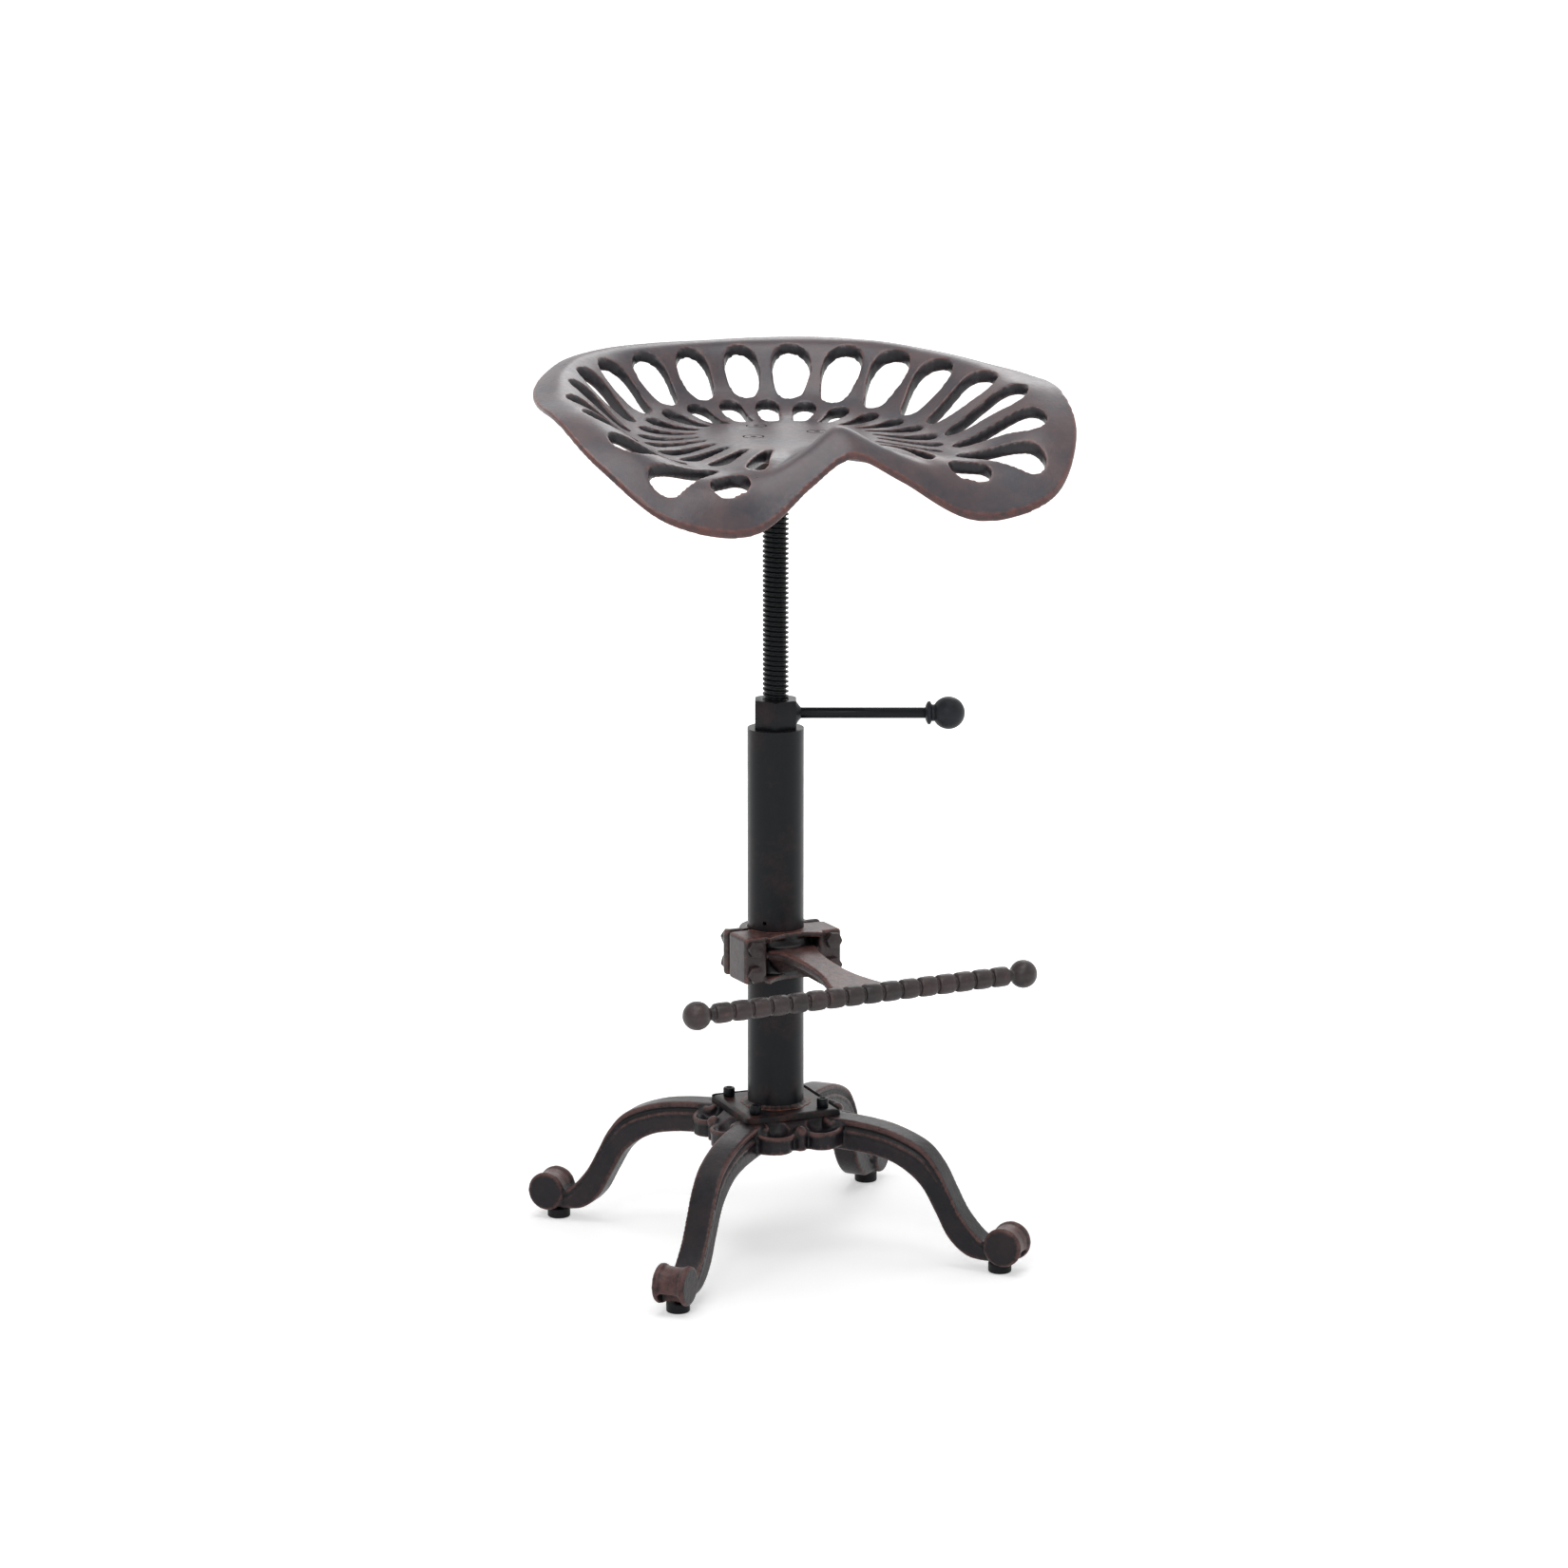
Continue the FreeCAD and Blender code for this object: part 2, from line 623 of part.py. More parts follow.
def lever_knob():
    """The ball with its collar, screwed on the end of the lever."""
    ball = Part.makeSphere(ball_radius, along_lever(ball_centre_out))
    neck = rod(lever_radius + 3, along_lever(lever_reach), lever_axis(), ball_centre_out - lever_reach)
    collar = rod(collar_radius, along_lever(lever_reach), lever_axis(), collar_thickness)
    rims = [e for e in collar.Edges if e.Closed]
    collar = collar.makeFillet(1.6, rims)
    return ball.fuse([neck, collar]).cut(rod(lever_radius, along_lever(0), lever_axis(), ball_centre_out)).removeSplitter()


# Footrest

def clamp_bolt_places():
    return [(sx * clamp_bolt_x, clamp_centre_height + sz * clamp_bolt_rise) for sx in (-1, 1) for sz in (-1, 1)]


def arm():
    """The arm from the clamp to the bar: waisted in plan, bowed down a little, with a rib under its root."""
    root_y = -(tube_radius + clamp_bore_gap + clamp_hug_wall / 2)
    top_root = clamp_centre_height + clamp_height / 2 - clamp_web - arm_top_drop_at_root
    top_end = bar_height + bar_radius - 2
    side_top = [V(0, root_y, top_root), V(0, -clamp_front - 14, top_root + 0.5), V(0, -bar_out * 0.6, top_end + 4),
                V(0, -bar_out, top_end)]
    side_low = [V(0, root_y, clamp_centre_height - clamp_height / 2 + clamp_web),
                V(0, -clamp_front - 14, top_root - arm_thickness - 7),
                V(0, -bar_out * 0.6, top_end + 4 - arm_thickness - arm_belly),
                V(0, -bar_out, top_end - arm_thickness)]
    edges = [spline(side_top), Part.makeLine(side_top[-1], side_low[-1]), spline(side_low),
             Part.makeLine(side_low[0], side_top[0])]
    side = Part.Face(Part.Wire(Part.__sortEdges__(edges)))
    side.translate(V(-arm_root_width, 0, 0))
    side_solid = side.extrude(V(2 * arm_root_width, 0, 0))
    stations = [(root_y, arm_root_width), (-clamp_front - 4, arm_root_width - 7), (-bar_out * 0.52, arm_waist_width),
                (-bar_out * 0.8, arm_waist_width + 5), (-bar_out, arm_end_width)]
    right = [V(width / 2, y, 0) for y, width in stations]
    left = [V(-width / 2, y, 0) for y, width in stations]
    plan_edges = [spline(right), Part.makeLine(right[-1], left[-1]), spline(left), Part.makeLine(left[0], right[0])]
    plan = Part.Face(Part.Wire(Part.__sortEdges__(plan_edges)))
    plan.translate(V(0, 0, bar_height - 60))
    return side_solid.common(plan.extrude(V(0, 0, 120)))


def beaded_bar():
    """The bar across the arm's end: barrel beads, then a neck and a ball at each end."""
    half_run = bar_bead_count * bar_bead_pitch / 2
    edges = [Part.makeLine(V(0, 0, 0), V(bar_ball_centre + bar_ball_radius, 0, 0))]
    ball_start = sqrt(bar_ball_radius ** 2 - bar_neck_radius ** 2)
    edges.append(Part.Arc(V(bar_ball_centre + bar_ball_radius, 0, 0), V(bar_ball_centre, 0, bar_ball_radius),
                          V(bar_ball_centre - ball_start, 0, bar_neck_radius)).toShape())
    edges.append(Part.makeLine(V(bar_ball_centre - ball_start, 0, bar_neck_radius), V(half_run, 0, bar_groove_radius)))
    for k in range(bar_bead_count // 2, 0, -1):
        outer = k * bar_bead_pitch
        inner = outer - bar_bead_pitch
        edges.append(Part.Arc(V(outer, 0, bar_groove_radius), V((outer + inner) / 2, 0, bar_radius),
                              V(inner, 0, bar_groove_radius)).toShape())
    edges.append(Part.makeLine(V(0, 0, bar_groove_radius), V(0, 0, 0)))
    half = Part.Face(Part.Wire(edges)).revolve(V(0, 0, 0), V(1, 0, 0), 360)
    bar = half.fuse(half.mirror(V(0, 0, 0), V(1, 0, 0))).removeSplitter()
    bar.translate(V(0, -bar_out, bar_height))
    return bar


def footrest_casting():
    low = clamp_centre_height - clamp_height / 2
    high = clamp_centre_height + clamp_height / 2
    body = block(-clamp_half_width, clamp_half_width, -clamp_front, -clamp_gap / 3, low, high)
    upright = [e for e in body.Edges if abs(e.tangentAt(e.FirstParameter).z) > 0.9 and e.BoundBox.YMin < -10]
    body = body.makeFillet(clamp_corner_radius, upright)
    pocket_half = clamp_half_width - clamp_block_width
    scoop_radius = (pocket_half ** 2 + 10.0 ** 2) / 20.0
    scoop = cylinder(scoop_radius, low - 1, high + 1, 0, -clamp_front - scoop_radius + 10.0 - 6.0)
    body = body.cut(scoop)
    pocket = block(-pocket_half, pocket_half, -clamp_front - 1, 0, low + clamp_web, high - clamp_web)
    hug = cylinder(tube_radius + clamp_bore_gap + clamp_hug_wall, low, high)
    body = body.cut(pocket.cut(hug))
    body = body.fuse([arm(), beaded_bar()])
    cuts = [cylinder(tube_radius + clamp_bore_gap, low - 1, high + 1)]
    for x, z in clamp_bolt_places():
        cuts.append(rod(clamp_bolt_radius + clamp_bolt_clearance, V(x, -clamp_front - 1, z), V(0, 1, 0), clamp_front + 2))
    return turned(body.cut(cuts).removeSplitter(), footrest_turn)


def clamp_back_half():
    low = clamp_centre_height - clamp_height / 2
    high = clamp_centre_height + clamp_height / 2
    face = clamp_gap * 2 / 3
    ears = block(-clamp_half_width, clamp_half_width, face, face + clamp_ear_thickness, low, high)
    corners = [e for e in ears.Edges if abs(e.tangentAt(e.FirstParameter).y) > 0.9]
    ears = ears.makeFillet(clamp_corner_radius, corners)
    shell = cylinder(tube_radius + clamp_bore_gap + clamp_shell_wall, low, high)
    shell = shell.cut(block(-60, 60, -60, face, low - 1, high + 1))
    body = ears.fuse(shell)
    cuts = [cylinder(tube_radius + clamp_bore_gap, low - 1, high + 1)]
    for x, z in clamp_bolt_places():
        cuts.append(rod(clamp_bolt_radius + clamp_bolt_clearance, V(x, 0, z), V(0, 1, 0), 40))
    return turned(body.cut(cuts).removeSplitter(), footrest_turn)


def clamp_bolt(x, z):
    back_face = clamp_gap * 2 / 3 + clamp_ear_thickness
    length = clamp_front + back_face + clamp_nut_height + clamp_nut_stand_out
    head = hexagon(clamp_bolt_head_flats, V(x, -clamp_front, z), V(0, -1, 0), clamp_bolt_head_height)
    shank = rod(clamp_bolt_radius, V(x, -clamp_front, z), V(0, 1, 0), length)
    return turned(head.fuse(shank), footrest_turn)


def clamp_nut(x, z):
    back_face = clamp_gap * 2 / 3 + clamp_ear_thickness
    nut = hexagon(clamp_bolt_head_flats, V(x, back_face, z), V(0, 1, 0), clamp_nut_height)
    return turned(nut.cut(rod(clamp_bolt_radius, V(x, 0, z), V(0, 1, 0), 40)), footrest_turn)


# All nodes

export("base_casting", base_casting())
leg_names = ["back_right", "back_left", "front_left", "front_right"]
for index, name in enumerate(leg_names):
    foot = glide()
    foot.translate(V(glide_circle, 0, 0))
    export("glide_" + name, turned(foot, 45 + 90 * index))
export("flange_plate", flange_plate())
export("column_tube", column_tube())
export("foot_weld", foot_weld())
export("thread_bush", thread_bush())
export("flange_screws", Part.makeCompound([plate_screw(x, y) for x, y in plate_screw_places()]))
export("lock_nut", lock_nut())
export("lever_rod", lever_rod())
export("lever_knob", lever_knob())
export("footrest_casting", footrest_casting())
export("clamp_back_half", clamp_back_half())
export("clamp_bolts", Part.makeCompound([clamp_bolt(x, z) for x, z in clamp_bolt_places()]))
export("clamp_nuts", Part.makeCompound([clamp_nut(x, z) for x, z in clamp_bolt_places()]))
export("guide_ring", guide_ring())
export("spindle", spindle())
export("stop_washer", stop_washer())
export("stop_screw", stop_screw())
export("mount_flange", mount_flange())
export("seat_screws", Part.makeCompound([seat_screw(x, y) for x, y in seat_screw_places()]))
export("seat_casting", seat_casting())
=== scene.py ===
"""Looks of the tractor seat stool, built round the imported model.

Lengths are in millimetres in the model's own frame, and MM brings them to metres where a mesh
is made. Angles are in degrees.
"""

from math import acos, atan2, cos, hypot, pi, radians, sin, sqrt

import bpy
import numpy as np
from mathutils import Matrix, Vector


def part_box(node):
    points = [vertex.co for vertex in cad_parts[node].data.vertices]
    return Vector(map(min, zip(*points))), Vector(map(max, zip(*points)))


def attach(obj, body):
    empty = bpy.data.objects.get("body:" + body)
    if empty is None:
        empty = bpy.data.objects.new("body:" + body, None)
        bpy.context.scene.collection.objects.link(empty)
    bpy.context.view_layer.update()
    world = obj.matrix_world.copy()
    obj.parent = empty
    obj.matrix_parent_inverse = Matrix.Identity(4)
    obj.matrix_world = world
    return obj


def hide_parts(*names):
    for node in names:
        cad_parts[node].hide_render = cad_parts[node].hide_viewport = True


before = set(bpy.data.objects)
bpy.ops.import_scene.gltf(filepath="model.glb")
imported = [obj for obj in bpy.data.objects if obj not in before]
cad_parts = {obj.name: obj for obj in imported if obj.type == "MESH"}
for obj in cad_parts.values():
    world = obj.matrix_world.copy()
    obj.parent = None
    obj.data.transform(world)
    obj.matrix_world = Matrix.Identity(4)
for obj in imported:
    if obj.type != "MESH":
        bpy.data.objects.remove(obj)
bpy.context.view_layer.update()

MM = 0.001


def span(node):
    """Lowest and highest corner of a CAD node in millimetres."""
    low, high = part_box(node)
    return [v / MM for v in low], [v / MM for v in high]


# Driving sizes, read from the frame where the frame has them
tube_low, tube_high = span("column_tube")
column_foot = tube_low[2]
column_top = tube_high[2]
tube_radius = tube_high[0]
plate_low, plate_high = span("flange_plate")
hub_top = plate_low[2]
plate_top = plate_high[2]
plate_half = plate_high[0]
spindle_low, spindle_high = span("spindle")
crest_radius = spindle_high[0]
thread_depth = 2.2
thread_pitch = 4.233
nut_low, nut_high = span("lock_nut")
seat_flat = span("seat_screws")[1][2]
glide_high = 8.0
lever_direction = -22.0
lever_height = column_top + 12.7
footrest_turn = 4.9
clamp_low, clamp_high = span("clamp_back_half")
clamp_middle = (clamp_low[2] + clamp_high[2]) / 2
sharp_edge = 30  # from this angle on, an edge counts as sharp


# Handling of pieces

def take(*pieces):
    """Selects only these pieces, the first one active."""
    bpy.ops.object.select_all(action="DESELECT")
    for piece in pieces:
        piece.select_set(True)
    bpy.context.view_layer.objects.active = pieces[0]


def named(name):
    piece = bpy.context.active_object
    piece.name = name
    piece.data.name = name
    return piece


def settle(piece):
    """Moves the piece's place and turn into its mesh."""
    take(piece)
    bpy.ops.object.transform_apply(location=True, rotation=True, scale=True)
    return piece


def joined(name, pieces):
    take(*pieces)
    if len(pieces) > 1:
        bpy.ops.object.join()
    return named(name)


def worked(piece, kind, **settings):
    """Adds one modifier and applies it."""
    take(piece)
    modifier = piece.modifiers.new(kind, kind)
    for key, value in settings.items():
        setattr(modifier, key, value)
    bpy.ops.object.modifier_apply(modifier=modifier.name)
    return piece


def less(piece, cutter):
    """Cuts the cutter out of the piece and throws the cutter away."""
    worked(piece, "BOOLEAN", operation="DIFFERENCE", object=cutter, solver="EXACT")
    bpy.data.objects.remove(cutter)
    return piece


def smooth(piece):
    """Smooth shading all over."""
    take(piece)
    bpy.ops.object.shade_smooth()
    return piece


def shaded(piece, angle):
    """Smooth shading, but for the edges sharper than an angle."""
    take(piece)
    bpy.ops.object.shade_smooth_by_angle(angle=radians(angle))
    return piece


def cast(piece, grain, passes):
    """Melts overlapping shapes into one skin with soft edges, as a casting has."""
    worked(piece, "REMESH", mode="VOXEL", voxel_size=grain * MM)
    worked(piece, "SMOOTH", factor=0.5, iterations=passes)
    return smooth(piece)


def soft_edges(piece, width, segments=3):
    """Rounds the sharp edges and smooths the shading between them."""
    worked(piece, "BEVEL", width=width * MM, segments=segments, limit_method="ANGLE",
           angle_limit=radians(sharp_edge))
    return shaded(piece, sharp_edge)


def moved(piece, x, y, z):
    """Shifts a piece's mesh."""
    piece.data.transform(Matrix.Translation(Vector((x, y, z)) * MM))
    return piece


def turned(piece, angle):
    """Turns a piece's mesh about the column."""
    piece.data.transform(Matrix.Rotation(radians(angle), 4, "Z"))
    return piece


def copied(piece):
    """A copy with its own mesh."""
    take(piece)
    bpy.ops.object.duplicate()
    return bpy.context.active_object


def placed(piece, points):
    """Sets every vertex of a piece, in millimetres."""
    flat = (np.asarray(points, float) * MM).reshape(-1)
    piece.data.vertices.foreach_set("co", flat)
    piece.data.update()


def spots(piece):
    """Every vertex of a piece, in millimetres."""
    flat = np.zeros(len(piece.data.vertices) * 3)
    piece.data.vertices.foreach_get("co", flat)
    return flat.reshape(-1, 3) / MM


def facing(piece):
    """The outward direction at every vertex of a piece."""
    flat = np.zeros(len(piece.data.vertices) * 3)
    piece.data.vertices.foreach_get("normal", flat)
    return flat.reshape(-1, 3)


def skin(name, rings):
    """A closed skin over rings of points.

    It is a sheet rolled round them, its seam merged and its ends filled.
    """
    rings = np.asarray(rings, float)
    rows, around = rings.shape[:2]
    bpy.ops.mesh.primitive_grid_add(x_subdivisions=around, y_subdivisions=rows - 1, size=1)
    piece = named(name)
    placed(piece, np.concatenate([rings, rings[:, :1]], axis=1))
    take(piece)
    bpy.ops.object.mode_set(mode="EDIT")
    bpy.ops.mesh.select_all(action="SELECT")
    bpy.ops.mesh.remove_doubles(threshold=0.00001)
    bpy.ops.mesh.fill_holes(sides=0)
    bpy.ops.mesh.normals_make_consistent(inside=False)
    bpy.ops.object.mode_set(mode="OBJECT")
    return piece


def lathed(name, profile, segments=48):
    """A turned piece from (height, radius) pairs, standing on Z."""
    angles = np.arange(segments) * 2 * pi / segments
    return skin(name, [[(radius * cos(a), radius * sin(a), height) for a in angles]
                       for height, radius in profile])


def ball_end(centre, ball, neck, last, count):
    """The (height, radius) pairs of a ball, from its neck round to its far pole."""
    start = acos(neck / ball)
    turns = [start * (1 - t) - pi / 2 * t for t in np.linspace(0, last, count)]
    return [(centre - ball * sin(a), ball * cos(a)) for a in turns]


def aimed(piece, origin, direction):
    """Moves a piece that stands on Z to an origin, its axis along a direction."""
    turn = Vector((0, 0, 1)).rotation_difference(Vector(direction)).to_matrix().to_4x4()
    piece.data.transform(Matrix.Translation(Vector(origin) * MM) @ turn)
    return piece


def slab(name, outline, low, high):
    """A flat plate with an outline of (x, y) points between two heights."""
    bpy.ops.mesh.primitive_circle_add(vertices=len(outline), radius=1, fill_type="NGON")
    piece = named(name)
    placed(piece, [(x, y, low) for x, y in outline])
    take(piece)
    bpy.ops.object.mode_set(mode="EDIT")
    bpy.ops.mesh.select_all(action="SELECT")
    bpy.ops.mesh.extrude_region_move(TRANSFORM_OT_translate={"value": (0, 0, (high - low) * MM)})
    bpy.ops.mesh.select_all(action="SELECT")
    bpy.ops.mesh.normals_make_consistent(inside=False)
    bpy.ops.object.mode_set(mode="OBJECT")
    return piece


def chest(name, low, high):
    """A block between two corners."""
    middle = [(a + b) / 2 * MM for a, b in zip(low, high)]
    bpy.ops.mesh.primitive_cube_add(size=1, location=middle)
    piece = named(name)
    piece.scale = [(b - a) * MM for a, b in zip(low, high)]
    return settle(piece)


def cord_round(name, points, radius):
    """A round bar along a smooth line of points."""
    sides = 10
    points = np.asarray(points, float)
    ahead = np.gradient(points, axis=0)
    rings = []
    for point, run in zip(points, ahead):
        run = Vector(run).normalized()
        side = run.cross(Vector((0, 0, 1))).normalized()
        up = side.cross(run)
        rings.append([Vector(point) + side * radius * cos(a) + up * radius * sin(a)
                      for a in np.arange(sides) * 2 * pi / sides])
    return skin(name, rings)


def between(a, b, c, d, t):
    """The point a share t of the way from b to c on a smooth curve that passes a and d too."""
    return 0.5 * (2 * b + (c - a) * t + (2 * a - 5 * b + 4 * c - d) * t ** 2
                  + (3 * b - a - 3 * c + d) * t ** 3)


def smooth_line(points, count):
    """A line through the points, evenly taken from one to the next."""
    points = np.asarray(points, float)
    before, after = 2 * points[:1] - points[1:2], 2 * points[-1:] - points[-2:-1]
    padded = np.concatenate([before, points, after])
    out = []
    for step in np.linspace(0, len(points) - 1, count):
        k = min(int(step), len(points) - 2)
        out.append(between(*padded[k:k + 4], step - k))
    return np.array(out)


def note(piece, name, values):
    """Keeps one number per vertex, for the finishes to read."""
    attribute = piece.data.attributes.new(name, "FLOAT", "POINT")
    attribute.data.foreach_set("value", np.asarray(values, np.float32))


def mark_raised(piece, reach, blur=2, top_highlight_and_rub=0.0, wear_and_painted_light=None):
    """Notes how far each vertex stands proud of its neighbours, for the wear and painted light.

    A sharp outer edge is 1 and a hollow -1, and reach is the height that counts as 1. Below 0 a
    vertex gets painted shade. Faces that look up get some wear and a painted highlight too, and
    a function given last adds further wear for each vertex, and painted shade where negative.
    """
    mesh = piece.data
    where, normals = spots(piece), facing(piece)
    ends = np.zeros(len(mesh.edges) * 2, int)
    mesh.edges.foreach_get("vertices", ends)
    a, b = ends.reshape(-1, 2).T
    count = np.bincount(np.concatenate([a, b]), minlength=len(where)).astype(float)[:, None]

    def spread(values):
        total = np.zeros_like(values)
        np.add.at(total, a, values[b])
        np.add.at(total, b, values[a])
        return total / count

    mean = where
    for _ in range(blur):
        mean = 0.5 * mean + 0.5 * spread(mean)
    proud = ((where - mean) * normals).sum(1, keepdims=True)
    proud = 0.5 * proud + 0.5 * spread(proud)
    # Faces that look up get some wear and a painted highlight.
    looking_up = np.clip(normals[:, 2] * 2 - 0.8, 0, 1)
    wear = proud[:, 0] / reach + top_highlight_and_rub * looking_up
    if wear_and_painted_light is not None:
        wear = wear + wear_and_painted_light(where)
    note(piece, "raised", np.clip(wear, -1, 1))


# Finishes

class Mix:
    """A socket that can be added, multiplied and so on, so shader maths reads as a sum."""

    def __init__(self, nodes, socket):
        self.nodes = nodes
        self.socket = socket

    def maths(self, operation, first, second):
        return self.nodes.node("Math", {0: first, 1: second}, operation=operation)

    def __add__(self, other):
        return self.maths("ADD", self, other)

    __radd__ = __add__

    def __mul__(self, other):
        return self.maths("MULTIPLY", self, other)

    __rmul__ = __mul__

    def __sub__(self, other):
        return self.maths("SUBTRACT", self, other)

    def __rsub__(self, other):
        return self.maths("SUBTRACT", other, self)

    def steps(self, *stops):
        """A grey ramp through (place, level) stops."""
        return self.nodes.node("ValToRGB", {0: self}, stops=stops)


class Nodes:
    """A tree of shader nodes while it is being filled."""

    def __init__(self, tree):
        self.tree = tree

    def node(self, kind, inputs=None, output=0, stops=(), **settings):
        """Adds a node: first its settings and stops, then its sockets' values or links."""
        node = self.tree.nodes.new("ShaderNode" + kind)
        for key, value in settings.items():
            setattr(node, key, value)
        if stops:
            elements = node.color_ramp.elements
            while len(elements) < len(stops):
                elements.new(0.5)
            for element, (place, level) in zip(elements, stops):
                element.position = place
                element.color = (level, level, level, 1)
        for key, value in (inputs or {}).items():
            self.feed(node.inputs[key], value)
        return Mix(self, node.outputs[output])

    def feed(self, socket, value):
        if isinstance(value, Mix):
            self.tree.links.new(value.socket, socket)
        else:
            socket.default_value = value


class Paint(Nodes):
    """One finish while it is being mixed."""

    def __init__(self, name, **plain):
        self.finish = bpy.data.materials.new(name)
        self.finish.use_nodes = True
        super().__init__(self.finish.node_tree)
        self.tree.nodes.clear()
        self.shader = self.tree.nodes.new("ShaderNodeBsdfPrincipled")
        output = self.tree.nodes.new("ShaderNodeOutputMaterial")
        self.tree.links.new(self.shader.outputs[0], output.inputs[0])
        self.place = self.node("TexCoord", output="Object")
        self.set(**plain)

    def set(self, **values):
        for key, value in values.items():
            self.feed(self.shader.inputs[key.replace("_", " ")], value)

    def noise(self, size, detail, roughness, stretch=None):
        """Cloudy noise whose blobs are about so many millimetres across."""
        place = self.place
        if stretch:
            place = self.node("Mapping", {"Vector": place, "Scale": stretch})
        return self.node("TexNoise", {"Vector": place, "Scale": 1 / (size * MM),
                                      "Detail": detail, "Roughness": roughness})

    def blend(self, factor, first, second):
        return self.node("Mix", {0: factor, 6: first, 7: second}, output=2, data_type="RGBA")

    def noted(self, name):
        """The number that is kept for each vertex under a name."""
        return self.node("Attribute", output="Fac", attribute_name=name)

    def bump(self, height, depth):
        self.set(Normal=self.node("Bump", {"Height": height, "Distance": depth * MM,
                                           "Strength": 1.0}))


def shade(*colour):
    """A colour as it shows on screen, from 0 to 255, brought to linear light."""
    linear = [((c / 255 + 0.055) / 1.055) ** 2.4 if c > 10 else c / 255 / 12.92 for c in colour]
    return (*linear, 1)


hollow_shadow = shade(13, 13, 16)
wall_shadow = shade(26, 27, 32)


def antique(name, ground, cloud, wear_and_painted_light, wear, rough, grain=0.035, gloss=0.25):
    """Dark wash over cast iron.

    The ground is cloudy, and brown shows as wear on the raised edges and as a painted highlight
    where faces look up. The hollows and the walls of the slots get painted shade.
    """
    paint = Paint(name, Metallic=0.0, Specular_IOR_Level=gloss)
    raised = paint.noted("raised")
    clouds = paint.noise(34, 5, 0.62).steps((0.36, 0), (0.64, 1))
    patches = paint.noise(7, 6, 0.72)
    colour = paint.blend(clouds, shade(*ground), shade(*cloud))
    # Brown wear on the raised edges, and a painted highlight on faces that look up.
    rub_and_highlight = (raised * 0.75 + patches * 1.1 - 0.46).steps((0.26, 0), (0.66, 1)) * wear
    colour = paint.blend(rub_and_highlight, colour, shade(*wear_and_painted_light))
    # Painted shade in the hollows.
    sunk = (0 - raised).steps((0.06, 0), (0.45, 0.85))
    colour = paint.blend(sunk, colour, hollow_shadow)
    # Painted shade on the walls of the slots.
    colour = paint.blend(paint.noted("wall") * (1.0 - patches * 0.25), colour, wall_shadow)
    paint.set(Base_Color=colour, Roughness=paint.noise(5, 4, 0.6) * 0.22 + (rough - 0.10))
    sand = paint.noise(1.1, 3, 0.6) * 0.6 + paint.noise(4.0, 3, 0.5)
    paint.bump(sand, grain * 4)
    return paint.finish


seat_finish = antique("seat_bronze_wash", (56, 53, 60), (82, 66, 68), (126, 78, 68),
                      wear=0.7, rough=0.31, gloss=0.4)
base_finish = antique("base_black_wash", (16, 17, 22), (42, 34, 38), (104, 74, 70),
                      wear=0.8, rough=0.34, grain=0.06, gloss=0.24)
clamp_finish = antique("footrest_brown_wash", (34, 27, 28), (62, 47, 47), (130, 88, 80),
                       wear=0.8, rough=0.36, grain=0.07, gloss=0.42)


def blued(name, ground, patch, amount, rough, size=22):
    """Blue-black steel with faint brown patches and fine drawn lines along it."""
    paint = Paint(name, Metallic=0.0, Specular_IOR_Level=0.15)
    patches = paint.noise(size, 6, 0.68).steps((0.62 - amount, 0), (0.82 - amount, 1))
    colour = paint.blend(patches * 0.75, shade(*ground), shade(*patch))
    lines = paint.noise(1.2, 3, 0.6, stretch=(1, 1, 0.06))
    paint.set(Base_Color=colour, Roughness=paint.noise(12, 4, 0.6) * 0.2 + (rough - 0.1))
    paint.bump(lines, 0.03)
    return paint.finish


tube_finish = blued("column_blueing", (20, 24, 28), (60, 42, 42), 0.1, 0.34, size=60)
plate_finish = blued("plate_blueing", (26, 24, 27), (84, 56, 50), 0.14, 0.34)
screw_finish = blued("screw_black", (14, 17, 20), (40, 33, 32), 0.0, 0.36)
weld_finish = antique("weld_copper", (40, 31, 31), (92, 60, 51), (146, 94, 76),
                      wear=0.9, rough=0.42, grain=0.08)
moulded = blued("moulded_black", (30, 31, 34), (40, 40, 43), 0.0, 0.48)
knob_finish = blued("knob_black", (44, 46, 50), (54, 54, 57), 0.0, 0.4)


# Seat

dish_y = -25.0
flat_radius = 60.0
rest_thickness = 9.0
edge_thickness = 4.4
edge_band = 16.0
# Most that a slope adds to the wall's upright thickness, as a factor, at the rim and elsewhere
edge_steepest = 1.25
wall_steepest = 1.9
wall_gain = 1.1  # on the stations' wall
flat_fade = 15.0  # from the flat outwards, where the wall comes to the stations' thickness
seat_grain = 1.7
slot_cut = 30.0  # reach of the slots' cutters over and under the plate
station_step = 15
screw_circle = 35.0
screw_turns = (96, 216, 336)
# Height over the flat, radius
countersink = [(-5.0, 3.8), (-1.4, 8.2), (-1.2, 9.2), (3.0, 9.2)]
# Every 15 degrees from the front round to the back, about the dish centre:
# rim radius, rim height, shoulder radius, shoulder height, waist radius, waist height, wall
dish_stations = np.array([
    (143, 5, 117.7, 23, 75, 5, 9.5), (158, -15, 134.5, 5.5, 100, 2.5, 10.5),
    (197, -47, 162, -12.5, 144, -4.5, 11), (236, -35, 195.5, -12, 148, -7, 9),
    (243, 5, 217, 15.5, 137, -5.5, 8.7), (232.5, 34, 204, 36.5, 128, -3.5, 8.7),
    (221.5, 40, 197, 41.5, 127.3, 0.5, 9.5), (212, 43.5, 191.5, 48.5, 128.5, 3.3, 9.2),
    (205, 49, 190.5, 52.5, 131, 6.5, 9.8), (203, 54, 190, 56, 138, 11, 9.3),
    (198, 57, 186, 55.5, 143, 15, 7.8), (194.5, 57, 179, 55, 146, 18, 7.4),
    (195, 56, 177.7, 55, 146.6, 19, 7.4)])
